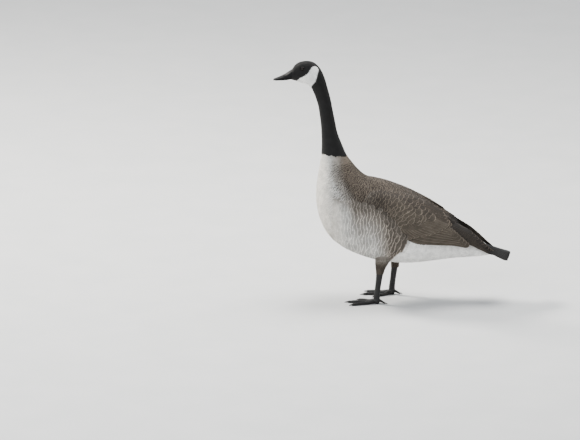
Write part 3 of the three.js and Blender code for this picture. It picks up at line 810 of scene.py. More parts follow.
# Stations along a vane and across it; tips are closed round by bowing the last rows.
def vane(
    sheet, t, a, theta, length, width, depth, rows=5, cols=4, tip=0.30, camber=0.05,
    start=0.15, lift_field=1.0, over=0.0, curve=None, twist=None, raise_=None, sink=0.0, seed=5,
    fray=0.0, hug=2.1, edge_drop=0.012,
):  # fmt: skip
    """Points of vanes that leave roots (t, a) at angle theta and follow the sheet."""
    r = np.random.default_rng(seed)
    n = len(t)
    vs = np.linspace(0, 1, rows + 1) ** 0.85
    us = np.sin(np.linspace(-1, 1, cols + 1) * np.pi / 2 * 0.92) / math.sin(np.pi / 2 * 0.92)
    if curve is None:
        curve = np.zeros(n)
    if twist is None:
        twist = r.normal(0, 0.022, n)
    if raise_ is None:
        raise_ = r.uniform(-0.03, 0.03, n)
    pos_t, pos_a = [t], [a]
    th = [theta]
    sub = 2
    ct, ca, cth = t.copy(), a.copy(), theta.copy()
    for k in range(rows):
        ds = length * (vs[k + 1] - vs[k]) / sub
        for _ in range(sub):
            ct, ca = sheet.step(ct, ca, cth, ds)
            cth = cth + curve * (vs[k + 1] - vs[k]) / sub
        pos_t.append(ct)
        pos_a.append(ca)
        th.append(cth)
    MT, MA, TH = (np.stack(x, 1) for x in (pos_t, pos_a, th))  # n x rows+1
    tipf = tip if np.ndim(tip) else np.full(n, tip)
    U = np.broadcast_to(us, (n, rows + 1, cols + 1))
    V = np.broadcast_to(vs[:, None], (n, rows + 1, cols + 1))
    bow = (1 - np.sqrt(1 - 0.97 * U * U)) * tipf[:, None, None] * V
    if fray:
        bow = bow + fray * r.uniform(-1, 1, (n, 1, cols + 1)) * V
    profile = np.minimum(1, (0.30 + 0.70 * np.sqrt(np.clip(V / 0.42, 0, 1)))) * (1 - 0.16 * V**3)
    off = U * profile * (width / 2)[:, None, None]
    # a row's points: walk along the midline, back by the bow, then out sideways
    back = bow * length[:, None, None]
    T0 = np.broadcast_to(MT[..., None], U.shape)
    A0 = np.broadcast_to(MA[..., None], U.shape)
    H0 = np.broadcast_to(TH[..., None], U.shape)
    T1, A1 = sheet.step(T0, A0, H0, -back)
    T2, A2 = sheet.step(T1, A1, H0 + np.pi / 2, off)
    s = sheet.sample(T2, A2)
    P, N = s[..., 0:3], unit(s[..., 3:6])
    Ve = np.clip(V - bow, 0, 1)
    d = depth[:, None, None]
    h = -d * (1 - start) * (1 - Ve) ** hug
    h = h + camber * (width / 2)[:, None, None] * (1 - U * U) * (0.3 + 0.7 * Ve)
    h = h - edge_drop * d * np.abs(U) ** 3
    h = h + twist[:, None, None] * off + (raise_[:, None, None] - sink) * d
    if "lift" in sheet.names:
        up = s[..., sheet.names["lift"]] * np.reshape(lift_field, (-1, 1, 1))
        h = h + up + over * smooth(0.3, 2.5, up)
    return P + N * h[..., None], U, V, N


def shade(colour, r, amount):
    """Each feather a little lighter or darker than its neighbours."""
    return colour * (1 + r.uniform(-amount, amount, len(colour)))[:, None]


# ---- Materials ---------------------------------------------------------------------------------
class Nodes:
    def __init__(self, name):
        self.mat = bpy.data.materials.new(name)
        self.mat.use_nodes = True
        self.tree = self.mat.node_tree
        self.bsdf = next(n for n in self.tree.nodes if n.type == "BSDF_PRINCIPLED")

    def new(self, kind, **props):
        node = self.tree.nodes.new(kind)
        for k, v in props.items():
            setattr(node, k, v)
        return node

    def link(self, a, b):
        self.tree.links.new(a, b)

    def math(self, op, a, b=None, c=None, clamp=False):
        node = self.new("ShaderNodeMath", operation=op, use_clamp=clamp)
        for i, x in enumerate((a, b, c)):
            if x is None:
                continue
            if isinstance(x, (int, float)):
                node.inputs[i].default_value = x
            else:
                self.link(x, node.inputs[i])
        return node.outputs[0]

    def range(self, x, lo, hi, to_lo=0.0, to_hi=1.0):
        node = self.new("ShaderNodeMapRange", interpolation_type="SMOOTHSTEP")
        for i, v in enumerate((x, lo, hi, to_lo, to_hi)):
            if isinstance(v, (int, float)):
                node.inputs[i].default_value = v
            else:
                self.link(v, node.inputs[i])
        return node.outputs[0]

    def mix(self, factor, a, b, blend="MIX"):
        node = self.new("ShaderNodeMix", data_type="RGBA", blend_type=blend)
        for sock, x in ((node.inputs[0], factor), (node.inputs[6], a), (node.inputs[7], b)):
            if isinstance(x, (int, float)):
                sock.default_value = x
            elif isinstance(x, (tuple, list, np.ndarray)):
                sock.default_value = tuple(x)[:3] + (1.0,)
            else:
                self.link(x, sock)
        return node.outputs[2]

    def noise(self, scale, detail=3.0, rough=0.5, coords=None, stretch=None):
        if coords is None:
            coords = self.new("ShaderNodeTexCoord").outputs["Object"]
        if stretch is not None:
            m = self.new("ShaderNodeMapping")
            m.inputs["Scale"].default_value = stretch
            self.link(coords, m.inputs["Vector"])
            coords = m.outputs[0]
        node = self.new("ShaderNodeTexNoise")
        node.inputs["Scale"].default_value = scale
        node.inputs["Detail"].default_value = detail
        node.inputs["Roughness"].default_value = rough
        self.link(coords, node.inputs["Vector"])
        return node.outputs["Fac"]

    def bump(self, height, strength, distance):
        node = self.new("ShaderNodeBump")
        node.inputs["Strength"].default_value = strength
        node.inputs["Distance"].default_value = distance
        self.link(height, node.inputs["Height"])
        self.link(node.outputs[0], self.bsdf.inputs["Normal"])


def feather_material(name, roughness, barbs=34.0, rachis=0.05, streak=0.22, sheen=0.12, side=0.0, bump=0.35, gloss=0.30, ragged=0.08):
    """Vane colours from the feather's own attributes, with barbs, a shaft and a fringed tip."""
    m = Nodes(name)
    uv = m.new("ShaderNodeUVMap", uv_map="FUV").outputs[0]
    sep = m.new("ShaderNodeSeparateXYZ")
    m.link(uv, sep.inputs[0])
    u, v = sep.outputs[0], sep.outputs[1]
    base = m.new("ShaderNodeAttribute", attribute_name="Base").outputs["Color"]
    tipc = m.new("ShaderNodeAttribute", attribute_name="Tip").outputs["Color"]
    fr = m.new("ShaderNodeAttribute", attribute_name="Fringe").outputs["Vector"]
    fs = m.new("ShaderNodeSeparateXYZ")
    m.link(fr, fs.inputs[0])
    width, strength, rand = fs.outputs[0], fs.outputs[1], fs.outputs[2]
    au = m.math("ABSOLUTE", m.math("MULTIPLY_ADD", u, 2.0, -1.0))
    # barbs: fine lines that leave the shaft at a slant, uneven from feather to feather
    slant = m.math("SUBTRACT", m.math("MULTIPLY", v, barbs), m.math("MULTIPLY", au, barbs * 0.34))
    comb = m.new("ShaderNodeCombineXYZ")
    m.link(slant, comb.inputs[0])
    m.link(m.math("MULTIPLY", au, 1.2), comb.inputs[1])
    m.link(m.math("MULTIPLY", rand, 37.0), comb.inputs[2])
    barb = m.new("ShaderNodeTexNoise")
    barb.inputs["Scale"].default_value = 1.0
    barb.inputs["Detail"].default_value = 3.0
    m.link(comb.outputs[0], barb.inputs["Vector"])
    barb = barb.outputs["Fac"]
    # pale fringe at the tip (and, for big feathers, along the sides), its edge broken by barbs
    reach = m.math("ADD", v, m.math("MULTIPLY", m.math("SUBTRACT", barb, 0.5), ragged))
    start = m.math("SUBTRACT", 1.0, width)
    tipmask = m.range(reach, start, m.math("ADD", start, m.math("MULTIPLY", width, 0.45)))
    if side > 0:
        edge = m.range(au, 1.0 - side, 1.0 - side * 0.4)
        tipmask = m.math("MAXIMUM", tipmask, m.math("MULTIPLY", edge, 0.8))
    mask = m.math("MULTIPLY", tipmask, strength, clamp=True)
    colour = m.mix(mask, base, tipc)
    lines = m.range(barb, 0.30, 0.70, 1.0 - streak, 1.0 + streak)
    patch = m.range(m.noise(70.0, 2.0), 0.3, 0.7, 0.90, 1.10)
    shaft = m.range(au, rachis * 0.4, rachis, 0.78, 1.0)
    tone = m.math("MULTIPLY", m.math("MULTIPLY", lines, patch), shaft)
    grey = m.new("ShaderNodeCombineColor")
    for k in range(3):
        m.link(tone, grey.inputs[k])
    colour = m.mix(1.0, colour, grey.outputs[0], "MULTIPLY")
    m.link(colour, m.bsdf.inputs["Base Color"])
    m.link(m.range(barb, 0.3, 0.7, roughness - 0.07, roughness + 0.07), m.bsdf.inputs["Roughness"])
    m.bsdf.inputs["Sheen Weight"].default_value = sheen
    m.bsdf.inputs["Sheen Roughness"].default_value = 0.5
    m.bsdf.inputs["Specular IOR Level"].default_value = gloss
    ridge = m.range(au, 0.0, rachis * 1.6, 1.0, 0.0)
    m.bump(m.math("ADD", barb, m.math("MULTIPLY", ridge, 0.8)), bump, 0.0006)
    return m.mat


def skin_material():
    m = Nodes("skin_down")
    mark = m.new("ShaderNodeAttribute", attribute_name="Mark").outputs["Color"]
    fine = m.noise(900.0, 4.0, 0.6)
    grey = m.new("ShaderNodeCombineColor")
    tone = m.range(fine, 0.3, 0.7, 0.78, 1.12)
    for k in range(3):
        m.link(tone, grey.inputs[k])
    m.link(m.mix(1.0, mark, grey.outputs[0], "MULTIPLY"), m.bsdf.inputs["Base Color"])
    m.bsdf.inputs["Roughness"].default_value = 0.8
    m.bump(fine, 0.5, 0.0006)
    return m.mat


def leg_material():
    m = Nodes("leg_scale")
    coords = m.new("ShaderNodeTexCoord").outputs["Object"]
    height = m.new("ShaderNodeSeparateXYZ")
    m.link(coords, height.inputs[0])
    plates = []
    for scale in (620.0, 1150.0):
        vor = m.new("ShaderNodeTexVoronoi", feature="DISTANCE_TO_EDGE")
        vor.inputs["Scale"].default_value = scale
        m.link(coords, vor.inputs["Vector"])
        plates.append(m.range(vor.outputs["Distance"], 0.02, 0.16))
    # the webs, which lie lowest, have the finest scales
    low = m.range(height.outputs[2], 0.0026, 0.0042)
    plate = m.math("ADD", m.math("MULTIPLY", plates[0], low), m.math("MULTIPLY", plates[1], m.math("SUBTRACT", 1.0, low)))
    cloud = m.noise(160.0, 3.0)
    dark, light = (0.011, 0.0105, 0.0105), (0.037, 0.035, 0.0335)
    colour = m.mix(m.math("MULTIPLY", plate, m.range(cloud, 0.3, 0.7, 0.35, 1.0)), dark, light)
    m.link(colour, m.bsdf.inputs["Base Color"])
    m.link(m.range(cloud, 0.3, 0.7, 0.42, 0.58), m.bsdf.inputs["Roughness"])
    m.bump(m.math("ADD", plate, m.math("MULTIPLY", m.noise(1200.0, 3.0), 0.25)), 0.5, 0.0004)
    return m.mat


def horn_material(name, dark, light, rough, scale=260.0):
    m = Nodes(name)
    fine = m.noise(scale, 4.0, 0.6, stretch=(1.0, 0.35, 1.0))
    m.link(m.mix(m.range(fine, 0.3, 0.75), dark, light), m.bsdf.inputs["Base Color"])
    m.link(m.range(m.noise(90.0, 3.0), 0.3, 0.7, rough - 0.06, rough + 0.10), m.bsdf.inputs["Roughness"])
    m.bsdf.inputs["Coat Weight"].default_value = 0.0
    m.bsdf.inputs["Specular IOR Level"].default_value = 0.28
    m.bsdf.inputs["Coat Roughness"].default_value = 0.35
    m.bump(m.math("ADD", fine, m.math("MULTIPLY", m.noise(scale * 5, 3.0), 0.35)), 0.5, 0.0004)
    return m.mat


def eye_material():
    """Dark brown iris round a black pupil, by the place on the ball, under a clear wet gloss."""
    m = Nodes("eye_gloss")
    place = m.new("ShaderNodeAttribute", attribute_name="Axial").outputs["Fac"]
    ramp = m.new("ShaderNodeValToRGB")
    e = ramp.color_ramp.elements
    e[0].position, e[0].color = 0.0, (0.0015, 0.0013, 0.0012, 1)
    e[1].position, e[1].color = 1.0, (0.006, 0.004, 0.003, 1)
    for pos, col in (
        (0.50, (0.0016, 0.0013, 0.0012, 1)),
        (0.55, (0.012, 0.006, 0.0035, 1)),
        (0.68, (0.020, 0.010, 0.0055, 1)),
        (0.80, (0.013, 0.007, 0.004, 1)),
        (0.88, (0.004, 0.003, 0.0025, 1)),
    ):
        x = e.new(pos)
        x.color = col
    m.link(place, ramp.inputs[0])
    fleck = m.range(m.noise(1500.0, 4.0, 0.7), 0.35, 0.7, 0.7, 1.25)
    grey = m.new("ShaderNodeCombineColor")
    for k in range(3):
        m.link(fleck, grey.inputs[k])
    m.link(m.mix(1.0, ramp.outputs[0], grey.outputs[0], "MULTIPLY"), m.bsdf.inputs["Base Color"])
    m.bsdf.inputs["Roughness"].default_value = 0.08
    m.bsdf.inputs["Specular IOR Level"].default_value = 0.35
    m.bsdf.inputs["Coat Weight"].default_value = 0.12
    m.bsdf.inputs["Coat Roughness"].default_value = 0.03
    return m.mat


BLACK_MAT = feather_material("black_plumage", 0.66, barbs=18, streak=0.22, sheen=0.04, bump=0.25)
PALE_MAT = feather_material("pale_plumage", 0.80, barbs=30, streak=0.10, sheen=0.03, gloss=0.22)
BROWN_MAT = feather_material("brown_plumage", 0.72, barbs=44, streak=0.18, sheen=0.05, side=0.09, gloss=0.24, ragged=0.035)
FLANK_MAT = feather_material("flank_plumage", 0.76, barbs=44, streak=0.15, sheen=0.06, gloss=0.24, ragged=0.035)
QUILL_MAT = feather_material("flight_feather", 0.60, barbs=150, streak=0.20, sheen=0.02, side=0.13, rachis=0.07, bump=0.4, gloss=0.20, ragged=0.012)
SKIN_MAT = skin_material()
LEG_MAT = leg_material()
BILL_MAT = horn_material("bill_horn", (0.0045, 0.0045, 0.005), (0.018, 0.0172, 0.0175), 0.58)
CLAW_MAT = horn_material("claw_horn", (0.010, 0.009, 0.009), (0.040, 0.035, 0.030), 0.34, 500.0)
EYE_MAT = eye_material()


# ---- The coat on head, neck and trunk ------------------------------------------------------------
def near_eye(P):
    c = EYE_CENTRE * np.where(P[..., :1] < 0, [-1, 1, 1], [1, 1, 1])
    return np.linalg.norm(P - c, axis=-1)


def place_on_unwrap(t, a, t0, t1, a0=0.0, a1=1.0):
    x = 0.02 + 0.96 * (np.mod(a, 1.0) - a0) / (a1 - a0)
    y = 0.02 + 0.96 * (t - t0) / (t1 - t0)
    return np.stack([np.clip(x, 0.004, 0.996), np.clip(y, 0.004, 0.996)], -1)


def down_side(a):
    return np.abs(np.mod(a, 1.0) - 0.5) * 2


# on the foot of the neck and the breast the rows of tips run up towards the back
roots_t, roots_a = lattice(
    BODY,
    lambda t, a: coat(ROW, t),
    lambda t, a: coat(NEXT, t),
    0.0,
    33.9,
    jitter=lambda t: np.interp(t, [0, 14, 15.5, 21, 23], [0.16, 0.14, 0.07, 0.07, 0.10]),
    seed=11,
    skew=lambda t, a: 9.0 * smooth(0.1, 0.95, down_side(a)) * smooth(13, 17, t) * smooth(27, 21, t),
)
S = BODY.sample(roots_t, roots_a)
root_P, root_N = S[..., :3], unit(S[..., 3:6])
root_under = S[..., BODY.names["under"]]
length = coat(LONG, roots_t) * rng.uniform(0.88, 1.12, len(roots_t))
width = coat(WIDE, roots_t) * rng.uniform(0.9, 1.1, len(roots_t))
depth = coat(DEEP, roots_t)
e = 1e-3
up_back = BODY.sample(roots_t, roots_a + np.where(np.mod(roots_a, 1.0) < 0.5, -e, e), clip=True)[..., :3]
lie = unit(S[..., 6:9])
up_back = unit(up_back - BODY.sample(roots_t, roots_a, clip=True)[..., :3])
lean_back = 0.42 * np.sin(np.pi * down_side(roots_a)) * smooth(14.5, 17, roots_t) * smooth(25, 20, roots_t)
theta = BODY.angle_of(roots_t, roots_a, lie * np.cos(lean_back)[:, None] + up_back * np.sin(lean_back)[:, None])
theta = theta + rng.normal(0, 1, len(roots_t)) * np.interp(roots_t, [0, 14, 17, 34], [0.10, 0.09, 0.05, 0.05])
# round the eye the small feathers part and shorten
eye_gap = near_eye(root_P)
near = smooth(16, 8, eye_gap)
length *= 1 - 0.42 * near
width *= 1 - 0.25 * near
depth *= 1 - 0.45 * near
mid_t, mid_a = BODY.step(roots_t, roots_a, theta, length * 0.6)
mid_P = BODY.sample(mid_t, mid_a)[..., :3]
mid_q = picture(mid_P)
root_q = picture(root_P)
tip_t, tip_a = BODY.step(mid_t, mid_a, theta, length * 0.4)
tip_P = BODY.sample(tip_t, tip_a)[..., :3]
mid_under = BODY.sample(mid_t, mid_a, clip=True)[..., BODY.names["under"]]
d_mid = np.abs(np.mod(mid_a, 1.0) - 0.5) * 2
in_flank = (edge_distance(FLANK, mid_q) < -1.2) & (d_mid > 0.10) & (d_mid < 0.85)
# the mantle lies over the wings' upper edges, the rump and vent under them
over_wing = np.where(d_mid > 0.72, smooth(28.6, 27.2, roots_t), smooth(24.0, 22.4, roots_t))
last_over = np.where(d_mid > 0.72, 27.6, 23.0)
tip_under = BODY.sample(tip_t, tip_a, clip=True)[..., BODY.names["under"]]
keep = (
    ~in_flank
    & (root_under < np.where(roots_t < last_over, 5, 2.5))
    & (mid_under < np.where(roots_t < last_over, 9, 4))
    & ((tip_under < 1.5) | (roots_t < last_over))
    & (eye_gap > 7.4)
    & (near_eye(tip_P) > 6.3)
    & (tip_t < 34.6)
    & ~((roots_t < 1.0) & (rng.random(len(roots_t)) < 0.0))
)
plain, tipc, show = plumage(mid_P, mid_t, mid_a)
base = plain
base, tipc = shade(base, rng, 0.07), shade(tipc, rng, 0.06)
dark_ground = smooth(0.16, 0.05, plain.mean(-1)) * smooth(15, 16, roots_t)
fringe = np.stack(
    [
        np.interp(roots_t, [0, 14, 15.5, 18, 22, 34], [0.5, 0.45, 0.13, 0.105, 0.07, 0.09]) * (1 - 0.35 * dark_ground),
        show,
        rng.random(len(roots_t)),
    ],
    -1,
)

COATS = [
    # name, run of ribs, rows, columns, tip roundness, material, slot
    ("coat_head", 0.0, 5.0, 3, 2, 0.28, BLACK_MAT, "black_plumage"),
    ("coat_nape", 5.0, 9.0, 3, 2, 0.28, BLACK_MAT, "black_plumage"),
    ("coat_neck", 9.0, 14.6, 4, 4, 0.26, BLACK_MAT, "black_plumage"),
    ("coat_neck_base", 14.6, 17.5, 5, 4, 0.15, PALE_MAT, "pale_plumage"),
    ("coat_breast", 17.5, 21.5, 6, 4, 0.16, PALE_MAT, "pale_plumage"),
    ("coat_belly", 21.5, 27.0, 6, 6, 0.25, PALE_MAT, "pale_plumage"),
    ("coat_vent", 27.0, 34.0, 6, 6, 0.25, PALE_MAT, "pale_plumage"),
]
for name, t0, t1, nr, nc, tipr, mat, slot in COATS:
    sel = keep & (roots_t >= t0) & (roots_t < t1)
    pos, U, V, N = vane(
        BODY, roots_t[sel], roots_a[sel], theta[sel], length[sel], width[sel], depth[sel],
        rows=nr, cols=nc, tip=tipr, curve=rng.normal(0, 0.08, sel.sum()), seed=int(t0 * 10) + 3,
        camber=0.012 if t0 < 14 else 0.006, edge_drop=0.02 if t0 < 14 else 0.006,
        hug=2.1 if t0 < 14 else 2.5, fray=0.012, lift_field=over_wing[sel],
        raise_=rng.uniform(-1, 1, sel.sum()) * (0.03 if t0 < 14 else 0.012),
        twist=rng.normal(0, 1, sel.sum()) * (0.022 if t0 < 14 else 0.008),
    )  # fmt: skip
    c_base, c_tip = base[sel], tipc[sel]
    if t1 <= 9:  # the edge of the cheek is drawn across the small feathers, a little unevenly
        jit = rng.uniform(-0.55, 0.55, (sel.sum(), 1, 1, 3))
        wide = np.broadcast_to(roots_t[sel][:, None, None], U.shape)
        around = np.broadcast_to(roots_a[sel][:, None, None], U.shape)
        c_base, c_tip, _ = plumage(pos + jit, wide, around)
        c_base = c_base * (base[sel].sum(-1) / np.maximum(plain[sel].sum(-1), 1e-9))[:, None, None, None]
    coat_piece = Feathers()
    coat_piece.add(
        pos, c_base, c_tip, fringe[sel],
        place_on_unwrap(roots_t[sel], roots_a[sel], t0, t1), U, V,
    )  # fmt: skip
    coat_piece.build(name, mat)
    print(name, sel.sum(), "feathers", sum(len(f) for f in coat_piece.f) * 2, "triangles")


# ---- Flank: barred feathers in bowed rows over the side and the wing's lower edge ----------------
def to_sheet(q, left=True):
    """The place (t, a) on the bird's left side that stands at picture point q."""
    ti = np.arange(300, 640, 3)
    aj = np.arange(4, 178, 2)
    P = BODY.P[np.ix_(ti, aj)]
    N = BODY.N[np.ix_(ti, aj)]
    coarse = picture(P)
    facing = N @ np.array([0.966, 0, 0.2588]) > 0.02
    coarse = np.where(facing[..., None], coarse, 1e6)
    flat = coarse.reshape(-1, 2)
    best = np.array([np.argmin(((flat - p) ** 2).sum(-1)) for p in q.reshape(-1, 2)])
    t = BODY.t[ti[best // len(aj)]]
    a = BODY.a[aj[best % len(aj)]]
    target = q.reshape(-1, 2)
    e = 1e-3
    for _ in range(6):
        f = picture(BODY.sample(t, a)[..., :3])
        ft = picture(BODY.sample(t + e, a)[..., :3])
        fa = picture(BODY.sample(t, a + e)[..., :3])
        J = np.stack([(ft - f) / e, (fa - f) / e], -1)
        det = J[:, 0, 0] * J[:, 1, 1] - J[:, 0, 1] * J[:, 1, 0]
        det = np.where(np.abs(det) < 1e-6, 1e-6, det)
        r = target - f
        dt = (r[:, 0] * J[:, 1, 1] - r[:, 1] * J[:, 0, 1]) / det
        da = (r[:, 1] * J[:, 0, 0] - r[:, 0] * J[:, 1, 0]) / det
        t = np.clip(t + np.clip(dt, -0.3, 0.3), 14, 33)
        a = np.clip(a + np.clip(da, -0.02, 0.02), 0.02, 0.497)
    return t, a


def flank():
    r = np.random.default_rng(23)
    top = FLANK_TOP
    low = np.array([(327, 237), (336, 246), (347, 253), (358, 257), (370, 260.5), (384, 262), (398, 262), (410, 262)])
    T, A, TH, row, D = [], [], [], [], []
    for k, c in enumerate(np.arange(330.5, 409.5, 3.3) + r.uniform(-0.35, 0.35, 24)):
        y0 = np.interp(c, top[:, 0], top[:, 1]) + (-1.6 if k % 2 else 0.9) + r.uniform(-0.7, 0.7)
        bulge = np.interp(c, [331, 350, 372, 390, 406], [-3.0, -1.0, 4.0, 11.0, 19.0])
        y1 = np.interp(c - bulge, low[:, 0], low[:, 1])
        y = np.linspace(y0, y1, 90)
        f = (y - y0) / max(y1 - y0, 1)
        x = c - bulge * f**2 + 0.70 * np.sin(y * 0.40 + c * 0.13) + 0.40 * np.sin(y * (0.62 + 0.03 * (k % 5)) + k * 1.9)
        t, a = to_sheet(np.stack([x, y], -1))
        p = BODY.sample(t, a)
        P, N = p[..., :3], unit(p[..., 3:6])
        tangent = unit(np.gradient(P, axis=0))
        direction = np.cross(tangent, N)
        direction = unit(np.where((direction[:, 1:2] < 0), -direction, direction))
        th = BODY.angle_of(t, a, direction)
        s = np.concatenate([[0], np.cumsum(np.linalg.norm(np.diff(P, axis=0), axis=1))])
        # narrower feathers close together along the upper border
        gap = np.interp(c, [331, 405], [7.8, 12.0]) * (0.52 + 0.48 * smooth(0, 36, s))
        g = np.concatenate([[0], np.cumsum(np.diff(s) / ((gap[1:] + gap[:-1]) / 2))])
        n = int(g[-1])
        where = np.arange(n + 1) + (0.5 if k % 2 else 0.0) + r.uniform(-0.12, 0.12, n + 1)
        where = where[(where >= 0) & (where <= g[-1])]
        where = np.interp(where, g, s)
        D.append(where)
        T.append(np.interp(where, s, t))
        A.append(np.interp(where, s, a))
        # near the lower border the feathers turn back along the body
        TH.append(np.interp(where, s, th))
        row.append(np.full(len(where), c))
    T, A, TH, row, D = (np.concatenate(x) for x in (T, A, TH, row, D))
    upper = 1 - smooth(3, 40, D)
    n = len(T)
    L = np.interp(row, [331, 350, 405], [24, 34, 40]) * r.uniform(0.94, 1.06, n)
    W = np.interp(row, [331, 405], [13.8, 21.5]) * r.uniform(0.95, 1.08, n)
    L, W = L * (1 - 0.34 * upper), W * (1 - 0.42 * upper)
    T = T + r.normal(0, 0.8, n) / np.sqrt(BODY.sample(T, A, clip=True)[..., 9])
    TH = TH * 0.75 + r.normal(0, 0.05, n)
    # walk back from the tip to the root
    rt, ra = T.copy(), A.copy()
    for _ in range(8):
        rt, ra = BODY.step(rt, ra, TH, -L / 8)
    dd = 7.4
    for side in (1, -1):
        aa = ra if side > 0 else 1 - ra
        th = TH if side > 0 else -TH
        pos, U, V, N = vane(
            BODY, rt, aa, th, L, W, np.full(n, dd), rows=9, cols=6, tip=0.045 + 0.16 * upper,
            camber=0.006, edge_drop=0.008, start=0.25, over=1.3, seed=31 + side, fray=0.01, raise_=r.uniform(-0.008, 0.008, n) + 0.010 - 0.07 * smooth(343, 330, row),
            twist=np.full(n, 0.010) * side,
        )  # fmt: skip
        piece = Feathers()
        b, tc = (c * r.uniform(0.93, 1.07, (n, 1, 1, 1)) for c in flank_colours(picture(pos)))
        shown = (r.uniform(0.7, 0.95, n) - 0.2 * upper) * (0.5 + 0.5 * smooth(330, 346, row))
        fr = np.stack([np.full(n, 0.064), shown, r.random(n)], -1)
        lo, hi = (ra.min(), ra.max()) if side > 0 else (1 - ra.max(), 1 - ra.min())
        piece.add(pos, b, tc, fr, place_on_unwrap(rt, aa, rt.min(), rt.max(), lo, hi), U, V)
        piece.build("coat_flank_" + ("left" if side > 0 else "right"), FLANK_MAT)
    print("flank", n, "feathers a side")


flank()


# ---- Wings -----------------------------------------------------------------------------------------
def mirror_add(pieces, side, pos, *rest, **kw):
    if side < 0:
        pos = pos * np.array([-1, 1, 1])
        if kw.get("normal") is not None:
            kw["normal"] = kw["normal"] * np.array([-1, 1, 1])
    pieces.add(pos, *rest, **kw)


def quills(sheet, paths, widths, lifts, seed, rows=26, cols=8, tip=0.10, bury=0.0, tilt=0.0):
    """Long vanes along given paths (start, middle, end in the sheet's own places). tilt lifts the
    edge on the side of the larger a clear of the feather that it lies on."""
    r = np.random.default_rng(seed)
    n = len(paths)
    paths = np.asarray(paths, float)
    k = np.linspace(0, 1, rows + 1) ** 0.92
    a, b, c = paths[:, 0], paths[:, 1], paths[:, 2]
    kk = k[None, :, None]
    mid = (1 - kk) ** 2 * a[:, None] + 2 * kk * (1 - kk) * b[:, None] + kk**2 * c[:, None]
    T, A = mid[..., 0], mid[..., 1]
    p = sheet.sample(T, A)
    tangent = unit(np.gradient(p[..., :3], axis=1))
    TH = sheet.angle_of(T, A, tangent)
    seg = np.linalg.norm(np.diff(p[..., :3], axis=1), axis=-1).sum(1)
    us = np.linspace(-1, 1, cols + 1)
    us = np.sign(us) * np.abs(us) ** 0.9
    U = np.broadcast_to(us, (n, rows + 1, cols + 1))
    V = np.broadcast_to(k[:, None], U.shape)
    w = np.asarray(widths, float)[:, None, None] / 2
    profile = (0.35 + 0.65 * np.clip(V / 0.25, 0, 1) ** 0.7) * (1 - 0.10 * V**2)
    bow = (1 - np.sqrt(1 - 0.985 * U * U)) * (w / seg[:, None, None]) * (0.4 + 0.6 * V) * tip * 10 * V
    off = U * profile * w
    T0, A0, H0 = (np.broadcast_to(x[..., None], U.shape) for x in (T, A, TH))
    T1, A1 = sheet.step(T0, A0, H0, -bow * seg[:, None, None])
    T2, A2 = sheet.step(T1, A1, H0 + np.pi / 2, off)
    s = sheet.sample(T2, A2)
    N = unit(s[..., 3:6])
    way = np.sign((A2[..., -1] - A2[..., 0]).mean())
    h = np.asarray(lifts, float)[:, None, None] + 0.12 * (1 - np.abs(U) ** 1.5) - 0.10 * U * U
    h = h + np.broadcast_to(tilt, (n,))[:, None, None] * way * U * np.clip(V / 0.3, 0, 1)
    h = h - bury * np.clip(1 - V / 0.5, 0, 1) ** 1.4  # the root is under the coverts
    thick = 0.75 - 0.35 * np.abs(U) + 0 * V
    return s[..., :3] + N * h[..., None], U, V, N, thick


